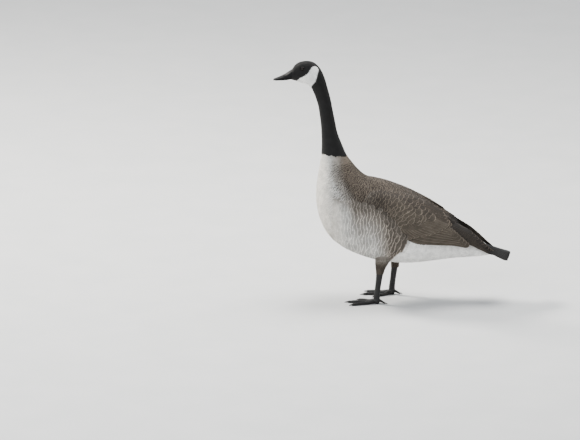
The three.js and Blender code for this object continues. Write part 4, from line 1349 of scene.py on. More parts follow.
def wing(side):
    r = np.random.default_rng(41 if side > 0 else 43)
    tag = "left" if side > 0 else "right"
    sheet = WING_L
    # shoulder, scapulars and coverts: overlapping rows
    size = lambda table, s, v: np.interp(s, [0, 1.5, 3.5, 6, 8.6], table)
    row = lambda s, v: size([6.5, 8.5, 12, 15.5, 15], s, v) * (1 - 0.12 * smooth(0.5, 0.9, v))
    gap = lambda s, v: size([6.5, 9, 12.5, 14, 13], s, v) * (1 - 0.12 * smooth(0.5, 0.9, v))
    # rows of tips lean back towards the upper edge, more so along the wing
    lean = lambda s, v: np.interp(s, [0, 2, 3.5, 5, 6.5, 8], [0, 1.6, 2.8, 4.6, 6.6, 8]) * v
    t, a = lattice(sheet, row, gap, 0.0, 7.6, jitter=0.09, seed=51 if side > 0 else 53, skew=lean)
    s = sheet.sample(t, a)
    # the rear of the wing belongs to the long feathers
    edge = np.interp(a, [-0.2, 0.05, 0.28, 0.4, 0.525, 0.625, 0.75, 1.0], [5.3, 5.3, 5.25, 5.0, 4.6, 4.3, 3.85, 3.6])
    ok = (t < edge) & (a > -0.21) & (a < 1.01)
    t, a = t[ok], a[ok]
    n = len(t)
    L = size([21, 28, 42, 46, 44], t, a) * r.uniform(0.92, 1.08, n) * (1 - 0.15 * smooth(0.5, 0.9, a))
    W = size([12, 16, 23, 25, 24], t, a) * r.uniform(0.94, 1.06, n) * (1 - 0.12 * smooth(0.5, 0.9, a))
    th = r.normal(0, 0.06, n) - 0.10 * smooth(0.6, 0.1, a)
    rolled = smooth(0.02, -0.12, a)
    L, W = L * (1 - 0.35 * rolled), W * (1 - 0.35 * rolled)
    w = smooth(0.12, 0.50, a) * smooth(1.5, 3.5, t)
    base = mix(UMBER, COVERT, w)
    tip = mix(UMBER_TIP, COVERT_TIP, w)
    front = smooth(1.6, 0.0, t)
    base, tip = mix(base, GREY * 0.62, front * 0.5), mix(tip, GREY_TIP * 0.85, front * 0.5)
    base, tip = shade(base, r, 0.10), shade(tip, r, 0.10)
    dep = np.interp(t, [0, 2, 8], [3.6, 3.8, 3.6])
    pos, U, V, N = vane(
        sheet, t, a, th, L, W, dep, rows=8, cols=6, tip=0.19, camber=0.006, edge_drop=0.01, start=0.12,
        seed=61 if side > 0 else 63, fray=0.008, twist=np.full(n, -0.010),
        raise_=r.uniform(-0.010, 0.010, n),
    )  # fmt: skip
    piece = Feathers()
    fr = np.stack([np.full(n, 0.05), np.full(n, 0.85), r.random(n)], -1)
    spot = np.stack([0.02 + 0.96 * np.clip((a + 0.25) / 1.25, 0, 1), 0.02 + 0.96 * np.clip(t / 5.8, 0, 1)], -1)
    mirror_add(piece, side, pos, base, tip, fr, spot, U, V)
    piece.build("coat_wing_" + tag, BROWN_MAT)
    # tertials over secondaries: broad, brown, pale edged
    paths, widths, lifts, base, tip = [], [], [], [], []
    secondaries = 10
    for k in range(secondaries):  # lowest first, each higher one laid over it
        f = 1 - k / (secondaries - 1)
        end_s, end_v = 7.05 + 1.85 * f, 0.24 + 0.64 * f
        start_s, start_v = 4.5 - 0.5 * f, 0.16 + 0.76 * f
        mid = ((start_s + end_s) / 2, (start_v + end_v) / 2 + 0.045)
        paths.append([(start_s, start_v), mid, (end_s, end_v)])
        widths.append(22 - 4 * f)
        lifts.append(-2.3 + 0.13 * k)
        base.append(COVERT * (1.15 - 0.25 * f) * r.uniform(0.94, 1.06))
        tip.append(COVERT_TIP * 1.1)
    # greater coverts: long and plain, their tips in one line across the secondaries
    line = np.array([(5.25, 0.985), (5.65, 0.89), (6.1, 0.80), (6.55, 0.72), (6.95, 0.61), (7.25, 0.46), (7.4, 0.32)])
    greater = 13
    for k in range(greater):
        f = k / (greater - 1) * (len(line) - 1)
        es, ev = along(line, np.array(f))
        sv = ev - 0.02 - 0.05 * (1 - k / (greater - 1))
        paths.append([(es - 1.95, sv), (es - 0.95, (sv + ev) / 2 - 0.012), (es, ev)])
        widths.append(15.5)
        lifts.append(-1.25 + 0.06 * k)
        base.append(COVERT * r.uniform(0.98, 1.12))
        tip.append(COVERT_TIP * 1.15)
    tertials = 6
    for k in range(tertials):
        f = k / (tertials - 1)
        paths.append([(3.9 + 0.2 * f, 0.36 - 0.34 * f), (5.7, 0.33 - 0.33 * f), (7.55 - 0.75 * f, 0.26 - 0.25 * f)])
        widths.append(24 - 4 * f)
        lifts.append(-0.95 + 0.25 * k)
        base.append(UMBER * (1.25 - 0.05 * k))
        tip.append(UMBER_TIP * 1.25)
    pos, U, V, N, th_ = quills(sheet, paths, widths, lifts, 71, rows=24, cols=8, tip=0.12, bury=5.0, tilt=0.32)
    piece = Feathers()
    m = len(paths)
    fr = np.stack([np.where(np.arange(m) < secondaries, 0.010, 0.024), np.full(m, 0.75), r.random(m)], -1)
    pa = np.array(paths)
    spot = np.stack([0.06 + 0.88 * np.clip(pa[:, 0, 1], 0, 1), np.linspace(0.06, 0.94, m)], -1)
    mirror_add(piece, side, pos, np.array(base), np.array(tip), fr, spot, U, V, patch=0.03, thick=th_, normal=N)
    piece.build("tertials_" + tag, QUILL_MAT)
    # primaries: long blackish feathers stepping back to the wing's point
    paths, widths, lifts = [], [], []
    count = 10
    for k in range(count):  # the shortest lies uppermost, the longest below them all
        f = k / (count - 1)
        paths.append(
            [(5.8, 0.24 + 0.44 * f), (7.6 + 0.6 * f, 0.21 + 0.49 * f), (8.9 + 2.15 * f, 0.15 + 0.47 * f)]
        )
        widths.append(17 + 1.0 * f)
        lifts.append(-1.3 - 0.24 * k)
    pos, U, V, N, th_ = quills(sheet, paths, widths, lifts, 73, rows=30, cols=8, tip=0.22, tilt=0.22)
    piece = Feathers()
    m = len(paths)
    base = np.array([QUILL * r.uniform(1.1, 1.4) for _ in range(m)])
    fr = np.stack([np.full(m, 0.014), np.full(m, 0.9), r.random(m)], -1)
    pa = np.array(paths)
    spot = np.stack([0.06 + 0.88 * np.linspace(0, 1, m), np.linspace(0.06, 0.94, m)], -1)
    mirror_add(piece, side, pos, base, base * 0 + UMBER_TIP * 0.8, fr, spot, U, V, patch=0.03, thick=th_, normal=N)
    piece.build("primary_quills_" + tag, QUILL_MAT, ["primaries_" + tag])
    print("wing", tag, n)


for side in (1, -1):
    wing(side)


def tail():
    r = np.random.default_rng(81)
    n = 16
    order = sorted(range(n), key=lambda k: -abs(k - (n - 1) / 2))  # outermost first
    paths, widths, lifts, tilts = [], [], [], []
    for rank, k in enumerate(order):
        f = (k - (n - 1) / 2) / ((n - 1) / 2)
        end = 4.0 - 0.10 * abs(f) + r.uniform(-0.02, 0.02)
        paths.append([(0.0, f * 0.72), (2.0, f * 0.84), (end, f * 0.86)])
        widths.append(19 if abs(f) < 0.97 else 15)
        lifts.append(-2.4 + 0.16 * rank + r.uniform(-0.03, 0.03))
        tilts.append(0.18 * np.sign(f))
    pos, U, V, N, th_ = quills(TAIL_S, paths, widths, lifts, 83, rows=20, cols=8, tip=0.15, tilt=tilts)
    piece = Feathers()
    base = np.array([QUILL * np.array([0.92, 1, 1.08]) * r.uniform(0.5, 0.7) for _ in range(n)])
    fr = np.stack([np.full(n, 0.03), np.full(n, 0.7), r.random(n)], -1)
    spot = np.stack([np.linspace(0.06, 0.94, n), np.where(np.arange(n) % 2, 0.1, 0.9)], -1)
    piece.add(pos, base, base * 2, fr, spot, U, V, patch=0.03, thick=th_, normal=N)
    piece.build("tail_feathers", QUILL_MAT, ["tail"])


tail()


def tail_coverts(name, under):
    """White coverts over and under the roots of the tail."""
    r = np.random.default_rng(87 if under else 85)
    sheet = tail_sheet(under)
    if (sheet.N[..., 2].mean() > 0) == under:
        sheet = Sheet(sheet.t, sheet.a, sheet.P, False, flip=sheet.side > 0)
    T, A = [], []
    for k, t0 in enumerate(np.linspace(-0.75, 0.10 if under else -0.05, 6)):
        v = np.arange(-0.86 + (0.055 if k % 2 else 0), 0.87, 0.11)
        T.append(t0 - 0.10 * np.abs(v) + r.uniform(-0.05, 0.05, len(v)))
        A.append(v + r.uniform(-0.012, 0.012, len(v)))
    T, A = np.concatenate(T), np.concatenate(A)
    n = len(T)
    pos, U, V, N = vane(
        sheet, T, A, 0.25 * A * (-1 if under else 1) * 0, r.uniform(24, 28, n), r.uniform(9.5, 11.5, n), np.full(n, 2.6),
        rows=6, cols=6, tip=0.24, camber=0.01, raise_=r.uniform(0.30, 0.36, n), seed=89, fray=0.015,
    )  # fmt: skip
    base = shade(np.broadcast_to(WHITE * 0.97, (n, 3)), r, 0.03)
    fr = np.stack([np.full(n, 0.2), np.full(n, 0.2), r.random(n)], -1)
    piece = Feathers()
    spot = np.stack([0.02 + 0.96 * (A + 0.9) / 1.8, 0.02 + 0.96 * (T - T.min()) / (T.max() - T.min())], -1)
    piece.add(pos, base, base * 1.02, fr, spot, U, V)
    piece.build(name, PALE_MAT)


tail_coverts("coat_tail_upper", False)


# ---- Skin --------------------------------------------------------------------------------------------
def closed_loft(P):
    """A closed mesh from loops P[i, k]."""
    n, m = P.shape[:2]
    i, k = np.meshgrid(np.arange(n - 1), np.arange(m), indexing="ij")
    l = (k + 1) % m
    quads = np.stack([i * m + k, i * m + l, (i + 1) * m + l, (i + 1) * m + k], -1).reshape(-1, 4)
    ends = P[[0, -1]].mean(axis=1)
    v = np.concatenate([P.reshape(-1, 3), ends])
    kk = np.arange(m)
    ll = (kk + 1) % m
    c0, c1 = n * m, n * m + 1
    caps = np.concatenate(
        [
            np.stack([np.full(m, c0), ll, kk, kk], -1),
            np.stack([np.full(m, c1), (n - 1) * m + kk, (n - 1) * m + ll, (n - 1) * m + ll], -1),
        ]
    )
    return v, quads, caps


def solid_object(name, lofts):
    """Several closed lofts in one mesh, every face facing out."""
    vs, polys, at = [], [], 0
    for P in lofts:
        v, q, c = closed_loft(P)
        polys += [tuple(int(x) + at for x in f) for f in q]
        polys += [tuple(int(x) + at for x in f[:3]) for f in c]
        vs.append(v)
        at += len(v)
    me = bpy.data.meshes.new(name)
    me.from_pydata([tuple(p) for p in (np.concatenate(vs) + CENTRE) * MM], [], polys)
    import bmesh

    bm = bmesh.new()
    bm.from_mesh(me)
    bmesh.ops.recalc_face_normals(bm, faces=bm.faces)
    bm.to_mesh(me)
    bm.free()
    obj = bpy.data.objects.new(name, me)
    bpy.context.scene.collection.objects.link(obj)
    return obj


def remeshed(obj, voxel, rounds, factor=0.5):
    m = obj.modifiers.new("voxels", "REMESH")
    m.mode, m.voxel_size = "VOXEL", voxel
    s = obj.modifiers.new("even", "SMOOTH")
    s.factor, s.iterations = factor, rounds
    dg = bpy.context.evaluated_depsgraph_get()
    me = bpy.data.meshes.new_from_object(obj.evaluated_get(dg))
    old = obj.data
    obj.modifiers.clear()
    obj.data = me
    bpy.data.meshes.remove(old)
    return obj


def limb(stations, count, around=20, inset=0.0):
    st = np.array(stations, float)
    t = np.linspace(0, len(st) - 1, count + 1)
    r = along(st, t)
    k = 2 * np.pi * np.arange(around) / around
    return np.stack(
        [
            r[:, None, 0] + (r[:, None, 3] - inset) * np.cos(k),
            r[:, None, 1] + (r[:, None, 4] - inset) * np.sin(k),
            r[:, None, 2] + 0 * k,
        ],
        -1,
    )


def thigh_stations(leg):
    (ax, ay, az), hem = leg["ankle"], leg["hem"]
    return [
        (ax - 3, ay + 20, az + 58, 26, 32),
        (ax - 1, ay + 10, az + 34, 21, 22),
        (ax, ay + 3.5, az + 14, 13.5, 15),
        (ax, ay + 1, az + 1, 9.4, 11),
        (ax, ay + 0.5, az - hem, 8.6, 10.2),
    ]


def flipped(P, side):
    return P * np.array([side, 1, 1])


ti = np.arange(0, len(BODY.t), 5)
T = BODY.t[ti]
inset_P = BODY.P[ti][:, :-1:4] - BODY.N[ti][:, :-1:4] * coat(DEEP, T)[:, None, None]
# the front ring of the face, kept as nose; it is not used further
nose = inset_P[:1] * 1.0
lofts = [inset_P]
wi = np.arange(4, len(ws) - 92, 4)
outer = wing_core[wi][:, ::4] - WING_L.N[wi][:, ROLL_COLUMNS::4] * 3.3
inner = wing_inner[wi][:, ::4] + WING_L.N[wi][:, ROLL_COLUMNS::4] * 0.5
gap_ok = np.concatenate([outer, inner[:, ::-1]], axis=1)
for side in (1, -1):
    lofts.append(flipped(gap_ok, side))
for leg in LEGS.values():
    lofts.append(flipped(limb(thigh_stations(leg), 10, 20, 2.6), leg["side"]))
skin = remeshed(solid_object("skin", lofts), 0.0021, 3)

# colours of the skin: the same markings as the coat
co = np.empty(len(skin.data.vertices) * 3)
skin.data.vertices.foreach_get("co", co)
co = co.reshape(-1, 3) / MM - CENTRE
flat_P = BODY.P[::4, :-1:4].reshape(-1, 3)
flat_t = np.repeat(BODY.t[::4], len(BODY.a[:-1:4]))
flat_a = np.tile(BODY.a[:-1:4], len(BODY.t[::4]))
from mathutils.kdtree import KDTree

tree = KDTree(len(flat_P))
for i, p in enumerate(flat_P):
    tree.insert(p, i)
tree.balance()
who = np.array([tree.find(p)[1] for p in co])
sb, stp, ss = plumage(flat_P[who], flat_t[who], flat_a[who])
colour = mix(sb, stp, ss * 0.4)
wtree = KDTree(wing_P[::3, ::3].reshape(-1, 3).shape[0])
for i, p in enumerate(wing_P[::3, ::3].reshape(-1, 3)):
    wtree.insert(p, i)
wtree.balance()
wd = np.array([wtree.find((abs(p[0]), p[1], p[2]))[2] for p in co])
colour = np.where((wd < 6)[:, None], UMBER, colour)
low = (co[:, 2] < 96) & (np.abs(co[:, 0]) > 20)
colour = np.where(low[:, None], UMBER * 0.8, colour)
attr = skin.data.color_attributes.new("Mark", "FLOAT_COLOR", "POINT")
attr.data.foreach_set("color", np.concatenate([colour, np.ones((len(colour), 1))], 1).astype(np.float32).ravel())
skin.data.materials.append(SKIN_MAT)
skin.data.materials.append(LEG_MAT)
skin.data.polygons.foreach_set("use_smooth", np.ones(len(skin.data.polygons), bool))


def foot_lofts(leg):
    (ax, ay, az), (hx, hy, hz) = leg["ankle"], leg["heel"]
    shank = limb(
        [
            (ax, ay, az + 8, 4.6, 5.4),
            (ax, ay, az - 2, 5.4, 6.4),
            (ax, ay - 0.5, az - 9, 7.2, 8.8),
            (ax + (hx - ax) * 0.3, ay + (hy - ay) * 0.27, az - 22, 5.6, 7.8),
            (ax + (hx - ax) * 0.7, ay + (hy - ay) * 0.68, az - 46, 5.2, 7.2),
            (hx, hy + 0.4, hz + 10, 6.1, 7.5),
            (hx, hy, hz + 1, 6.9, 7.9),
            (hx, hy, hz - 3, 6.6, 7.6),
        ],
        34,
        24,
    )
    lofts = [shank]
    k = np.linspace(0.02, np.pi - 0.02, 13)
    lofts.append(
        np.stack(
            [
                hx + PAD_RADIUS * np.sin(k)[:, None] * np.cos(2 * np.pi * np.arange(20) / 20),
                hy + PAD_RADIUS * np.sin(k)[:, None] * np.sin(2 * np.pi * np.arange(20) / 20),
                PAD_HEIGHT + PAD_RADIUS * np.cos(k)[:, None] + 0 * np.arange(20),
            ],
            -1,
        )
    )
    lie = TOE_WIDTH - SOLE_SINK
    way = lambda deg: (math.sin(math.radians(deg) - TOE_IN), -math.cos(math.radians(deg) - TOE_IN))

    def toe(rows, dx, dy, count, knuckles=0.0):
        st = np.array(rows, float)
        t = np.linspace(0, len(st) - 1, count + 1)
        r = along(st, t)
        a = 2 * np.pi * (np.arange(16) + 0.5) / 16
        f = t / t[-1]
        swell = 1 + knuckles * np.cos(2 * np.pi * f * 3.2)
        R = (r[:, 3] * swell)[:, None]
        # rounder over, flatter under, with a low ridge of scutes along the top
        return np.stack(
            [
                r[:, None, 0] - dy * R * np.cos(a),
                r[:, None, 1] + dx * R * np.cos(a),
                r[:, None, 2] + R * np.sin(a) * np.where(np.sin(a) > 0, 1.0, 0.96),
            ],
            -1,
        )

    for name, deg, ln in TOES:
        dx, dy = way(deg)
        st = lambda reach, z, rr: (hx + dx * reach, hy + dy * reach, z, rr)
        lofts.append(
            toe(
                [
                    st(-3, hz - 4.2, 6), st(8, hz - 6.8, TOE_WIDTH),
                    st(ln * 0.4, lie + 0.1, TOE_WIDTH * 0.9), st(ln * 0.72, lie - 0.5, TOE_WIDTH * 0.78),
                    st(ln, lie - 1.1, TOE_WIDTH * 0.60), st(ln + 0.8, lie - 1.2, TOE_WIDTH * 0.45),
                ],
                dx, dy, 40, 0.05,
            )
        )  # fmt: skip
    bx, by = way(180)
    st = lambda reach, z, rr: (hx + bx * reach, hy + by * reach, z, rr)
    reach = 4 + HIND_TOE["length"]
    lofts.append(
        toe(
            [
                st(1, HIND_TOE["rise"] + 5.5, HIND_TOE["radius"] + 0.8), st(3, HIND_TOE["rise"] + 5, HIND_TOE["radius"] + 0.8),
                st(12, HIND_TOE["rise"], HIND_TOE["radius"]), st(reach, HIND_TOE["radius"] * 0.6, HIND_TOE["radius"] * 0.76),
            ],
            bx, by, 16, 0.04,
        )
    )  # fmt: skip
    # webs: thin, hollowed at the front, a little slack between the toes
    for i in range(2):
        (_, d0, l0), (_, d1, l1) = TOES[i], TOES[i + 1]
        rows = []
        ends = [np.array(way(d)) * reach for d, reach in ((d0, l0 * 0.95), ((d0 + d1) / 2, 0.82 * min(l0, l1)), (d1, l1 * 0.95))]
        for f in np.linspace(0, 1, 25):
            dx, dy = (1 - f) ** 2 * ends[0] + 2 * f * (1 - f) * ends[1] + f**2 * ends[2]
            r = np.linspace(0.03, 1, 48)
            slack = np.sin(np.pi * f)
            fold = 0.22 * slack * np.sin(2 * np.pi * (3.4 * r + 0.5 * f)) * smooth(0.3, 0.6, r)
            top = np.stack([hx + dx * r, hy + dy * r, 2.2 - 0.5 * slack + fold + 1.6 * (1 - r) ** 2], -1)
            bot = top * np.array([1, 1, 0]) + np.array([0, 0, 0.45])
            rows.append(np.concatenate([top, bot[::-1]]))
        lofts.append(np.array(rows))
    return [flipped(p, leg["side"]) for p in lofts]


legs = []
for name, leg in LEGS.items():
    obj = remeshed(solid_object("leg_" + name, foot_lofts(leg)), 0.00072, 3, 0.5)
    me = obj.data
    c = np.empty(len(me.vertices) * 3)
    me.vertices.foreach_get("co", c)
    c = c.reshape(-1, 3)
    # scutes down the front of the shank and over the toes
    nrm = np.empty(len(me.vertices) * 3)
    me.vertices.foreach_get("normal", nrm)
    nrm = nrm.reshape(-1, 3)
    mm = c / MM - CENTRE
    hx, hy, hz = leg["heel"]
    r = np.hypot(np.abs(mm[:, 0]) - hx, mm[:, 1] - hy)
    on_shank = smooth(hz + 2, hz + 8, mm[:, 2])
    front = smooth(0.1, 0.7, -nrm[:, 1])
    wave_s = np.abs(np.sin(mm[:, 2] * np.pi / 3.1 + 0.5 * np.sin(nrm[:, 0] * 2)))
    top = smooth(0.25, 0.8, nrm[:, 2]) * (1 - on_shank) * smooth(8, 14, r) * smooth(2.6, 3.6, mm[:, 2])
    wave_t = np.abs(np.sin(r * np.pi / 2.9))
    push = 0.30 * on_shank * front * (wave_s**0.5 - 0.6) + 0.28 * top * (wave_t**0.5 - 0.6)
    c = c + nrm * (push * MM)[:, None]
    c[:, 2] = np.maximum(c[:, 2], 0.0003)
    me.vertices.foreach_set("co", c.astype(np.float32).ravel())
    attr = me.color_attributes.new("Mark", "FLOAT_COLOR", "POINT")
    attr.data.foreach_set("color", np.tile(np.array([0.02, 0.02, 0.02, 1], np.float32), len(me.vertices)))
    me.materials.append(SKIN_MAT)
    me.materials.append(LEG_MAT)
    me.polygons.foreach_set("material_index", np.ones(len(me.polygons), np.int32))
    me.polygons.foreach_set("use_smooth", np.ones(len(me.polygons), bool))
    legs.append(obj)


# Lids: a soft rim round each eye, from the ball out to the skin.
def lid(side):
    th = np.linspace(0, 2 * np.pi, 65)[:-1]
    rows = []
    across = np.array([0, side * -1.0, 0])
    for f in np.linspace(0, 1, 9):
        # an almond, drawn out a little at its corners
        ry = 5.0 + 2.6 * f
        rz = (4.35 + 2.6 * f) * (1 - 0.06 * np.cos(th) ** 2 * (1 - f))
        y = EYE_CENTRE[1] + ry * np.cos(th)
        z = EYE_CENTRE[2] + rz * np.sin(th) + 0.1
        dist = np.hypot(y - EYE_CENTRE[1], z - EYE_CENTRE[2])
        ball = EYE_CENTRE[0] + np.sqrt(np.maximum((EYE_RADIUS + 0.12) ** 2 - dist**2, 0.0))
        rows.append((y, z, ball, f))
    P = []
    for y, z, ball, f in rows:
        skin_x = head_x(y, z) - 1.25
        x_in = ball + 0.05
        rim = 0.75 * math.sin(math.pi * min(f * 1.35, 1.0))
        w = smooth(0.10, 0.85, np.array(f))
        x = x_in * (1 - w) + (skin_x - 0.5 * f) * w + rim
        P.append(np.stack([x * side, y, z], -1))
    P = np.array(P)
    v = P.reshape(-1, 3)
    n, m = P.shape[:2]
    i, k = np.meshgrid(np.arange(n - 1), np.arange(m), indexing="ij")
    l = (k + 1) % m
    f = np.stack([i * m + k, i * m + l, (i + 1) * m + l, (i + 1) * m + k], -1).reshape(-1, 4)
    if side < 0:
        f = f[:, ::-1]
    obj = mesh_object("lid", v, f[:, ::-1], SKIN_MAT)
    obj.data.materials.append(LEG_MAT)
    attr = obj.data.color_attributes.new("Mark", "FLOAT_COLOR", "POINT")
    attr.data.foreach_set("color", np.tile(np.array([0.014, 0.013, 0.013, 1], np.float32), len(v)))
    return obj


head_cloud = BODY.P[20:160, 1:180].reshape(-1, 3)


def head_x(y, z):
    """The head's half width at a place seen from the side."""
    out = []
    for yy, zz in zip(y, z):
        d = (head_cloud[:, 1] - yy) ** 2 + (head_cloud[:, 2] - zz) ** 2
        out.append(head_cloud[np.argmin(d), 0])
    return np.array(out)


lids = [lid(1), lid(-1)]
bpy.ops.object.select_all(action="DESELECT")
for o in legs + lids:
    o.select_set(True)
skin.select_set(True)
bpy.context.view_layer.objects.active = skin
bpy.ops.object.join()
skin.name = "skin"
ride(
    skin,
    [
        "head", "neck_upper", "neck_lower", "trunk", "wing_left", "wing_right",
        "thigh_left", "thigh_right", "shank_left", "shank_right", "foot_left", "foot_right",
    ],
)  # fmt: skip
print("skin", len(skin.data.polygons))


# ---- Feathered tibiae ------------------------------------------------------------------------------
def tibia(name, leg):
    r = np.random.default_rng(91)
    st = np.array(thigh_stations(leg), float)
    t = np.linspace(0, 4, 161)
    a = np.linspace(0, 1, 121)
    row = along(st, t)
    k = 2 * np.pi * a
    P = np.stack(
        [
            row[:, None, 0] + row[:, None, 3] * np.cos(k),
            row[:, None, 1] + row[:, None, 4] * np.sin(k),
            row[:, None, 2] + 0 * k,
        ],
        -1,
    )
    sheet = Sheet(t, a, P, True)
    if ((P - P.mean(axis=1, keepdims=True)) * sheet.N).sum(-1).mean() < 0:
        sheet = Sheet(t, a, P, True, flip=True)
    size = lambda table, tt: np.interp(tt, [0, 2, 3, 4], table)
    tt, aa = lattice(
        sheet, lambda x, y: size([6, 4.5, 3, 2.4], x), lambda x, y: size([5.5, 4.2, 2.8, 2.4], x), 0.6, 4.0, seed=93
    )
    L, W = size([19, 14, 9, 6], tt), size([10, 7.5, 5, 4.2], tt)
    L = np.where(tt > 3.8, L * 0.8, L)
    p = sheet.sample(tt, aa)[..., :3]
    pos, U, V, N = vane(
        sheet, tt, aa, r.normal(0, 0.10, len(tt)), L, W, np.full(len(tt), 2.4), rows=4, cols=4,
        tip=0.28, seed=95, fray=0.02,
    )  # fmt: skip
    # darker towards the ankle, greyer higher up
    f = smooth(96, 124, pos[..., 2])
    uneven = r.uniform(0.88, 1.12, (len(tt), 1, 1, 1))
    base = mix(np.broadcast_to(UMBER * 1.0, pos.shape), GREY * 1.05, f) * uneven
    tip = mix(np.broadcast_to(UMBER_TIP * 0.55, pos.shape), GREY_TIP * 0.75, f) * uneven
    # the uppermost are as pale as the belly that they come out of
    f = smooth(120, 137, pos[..., 2])
    base, tip = mix(base, CREAM * 0.7, f), mix(tip, CREAM_TIP * 0.8, f)
    fr = np.stack([np.full(len(tt), 0.3), np.full(len(tt), 0.5), r.random(len(tt))], -1)
    piece = Feathers()
    spot = np.stack([0.02 + 0.96 * np.mod(aa, 1), 0.02 + 0.96 * (tt - 0.6) / 3.4], -1)
    mirror_add(piece, leg["side"], pos, base, tip, fr, spot, U, V)
    piece.build("coat_thigh_" + name, PALE_MAT)


for name, leg in LEGS.items():
    tibia(name, leg)


# ---- Bill, eyes and claws ----------------------------------------------------------------------------
def bill_part(rows, widest, name, upper):
    n, m = 270, 144
    t = np.linspace(-0.30, len(rows) - 1 - 1e-6, n)
    a = np.linspace(0, 2 * np.pi, m + 1)[:-1]
    T, A = np.meshgrid(t, a, indexing="ij")
    under_edge = np.sin(A) < 0 if upper else np.sin(A) > 0
    P = rib_points(rows, T, A, 0.0, widest, np.where(under_edge, 4.6, 2.3))
    Nn = unit(np.cross(np.gradient(P, axis=0), np.gradient(P, axis=1)))
    mid = P.mean(axis=1, keepdims=True)
    if ((P - mid) * Nn).sum(-1).mean() < 0:
        Nn = -Nn
    deg = np.degrees(np.arctan2(np.sin(A), np.abs(np.cos(A))))  # -90 under .. 90 over
    push = np.zeros(T.shape)
    if upper:
        push += 0.35 * np.exp(-(((deg - 84) / 16) ** 2)) * smooth(0.2, 1.2, T) * (1 - smooth(4.2, 5.2, T))
        # a long shallow hollow below the culmen, holding the nostril
        push -= 0.55 * np.exp(-(((deg - 42) / 20) ** 2)) * np.exp(-(((T - 2.0) / 1.4) ** 2))
        # nostril: an oval slot through, with a raised rim
        dn = np.hypot((T - 2.15 - 0.012 * (deg - 40)) / 0.36, (deg - 40) / 10)
        push -= 1.5 * smooth(1.0, 0.55, dn) - 0.20 * np.exp(-(((dn - 1.2) / 0.25) ** 2))
        # nail: a shield over the tip with a groove behind it
        nail = smooth(4.65, 4.95, T + 0.35 * (deg < 90) * smooth(90, 30, deg) * 0) * smooth(12, 34, deg)
        push += 0.38 * nail
        push -= 0.22 * np.exp(-(((T - 4.62) / 0.10) ** 2)) * smooth(10, 30, deg)
        # the cutting edge turns out a little, with a groove above it
        push -= 0.30 * np.exp(-(((deg - 2) / 7) ** 2)) * smooth(0.3, 1.2, T) * (1 - smooth(5.0, 5.8, T))
        push += 0.28 * np.exp(-(((deg + 22) / 10) ** 2)) * (1 - smooth(5.2, 5.9, T))
        # lamellae along it
        push -= 0.20 * np.sin(T * 30) ** 2 * np.exp(-(((deg + 12) / 12) ** 2)) * smooth(0.5, 1.0, T) * (1 - smooth(4.3, 4.8, T))
        # faint wrinkles in the softer horn towards the feathers
        push += 0.035 * np.sin(T * 21 + 1.5 * np.sin(deg / 17)) * (1 - smooth(0.4, 1.8, T)) * smooth(5, 25, deg)
    else:
        push += 0.22 * np.exp(-(((deg + 60) / 18) ** 2))
        # lamellae: fine upright ridges under the gape
        push += 0.16 * np.abs(np.sin(T * 30)) * smooth(5, 18, deg) * smooth(62, 40, deg)
        push -= 0.20 * np.exp(-(((deg + 84) / 10) ** 2)) * (1 - smooth(3.6, 4.4, T))
    if not upper:
        push += 0.45 * smooth(55, 80, deg) * smooth(0.0, 0.8, T)
    P = P + Nn * push[..., None]
    # round the tip off
    last = len(rows) - 1
    shrink = np.sqrt(np.clip(1 - (np.clip(T - last + 0.55, 0, None) / 0.56) ** 2, 0, 1))
    centre = P.mean(axis=1, keepdims=True)
    P = centre + (P - centre) * (0.12 + 0.88 * shrink[..., None])
    v, q, c = closed_loft(P)
    me = bpy.data.meshes.new(name)
    me.from_pydata(
        [tuple(p) for p in (v + CENTRE) * MM],
        [],
        [tuple(int(x) for x in f) for f in q] + [tuple(int(x) for x in f[:3]) for f in c],
    )
    import bmesh

    bm = bmesh.new()
    bm.from_mesh(me)
    bmesh.ops.recalc_face_normals(bm, faces=bm.faces)
    bm.to_mesh(me)
    bm.free()
    me.polygons.foreach_set("use_smooth", np.ones(len(me.polygons), bool))
    me.materials.append(BILL_MAT)
    obj = bpy.data.objects.new(name + "_horn", me)
    bpy.context.scene.collection.objects.link(obj)
    ride(obj, [name])


bill_part(BILL_UPPER, 0.34, "bill_upper", True)
bill_part(BILL_LOWER, 0.62, "bill_lower", False)


def eye(side):
    tag = "left" if side > 0 else "right"
    n, m = 40, 64
    th = np.linspace(0, np.pi, n + 1)
    ph = 2 * np.pi * np.arange(m) / m
    # the axis looks out and slightly forward and up
    ax = unit(np.array([1.0, -0.16, 0.04]))
    b1 = unit(np.cross(ax, [0, 0, 1]))
    b2 = np.cross(ax, b1)
    cornea = 0.32 * np.exp(-((th / 0.62) ** 2))
    R = EYE_RADIUS - 0.15 + cornea
    P = (
        EYE_CENTRE
        + (R * np.cos(th))[:, None, None] * ax
        + (R * np.sin(th))[:, None, None]
        * (np.cos(ph)[None, :, None] * b1 + np.sin(ph)[None, :, None] * b2)
    )
    P = flipped(P, side)
    i, k = np.meshgrid(np.arange(n), np.arange(m), indexing="ij")
    l = (k + 1) % m
    f = np.stack([i * m + k, i * m + l, (i + 1) * m + l, (i + 1) * m + k], -1).reshape(-1, 4)
    if side < 0:
        f = f[:, ::-1]
    obj = mesh_object("eyeball_" + tag, P.reshape(-1, 3), f, EYE_MAT)
    # where the iris stands: 0 on the axis, 1 at the rim that the lids hold
    value = np.repeat(np.clip(np.sin(np.minimum(th, np.pi / 2)) / 0.92, 0, 1), m).astype(np.float32)
    attr = obj.data.attributes.new("Axial", "FLOAT", "POINT")
    if len(obj.data.vertices) == len(value):
        attr.data.foreach_set("value", value)
    ride(obj, ["eye_" + tag])


for side in (1, -1):
    eye(side)


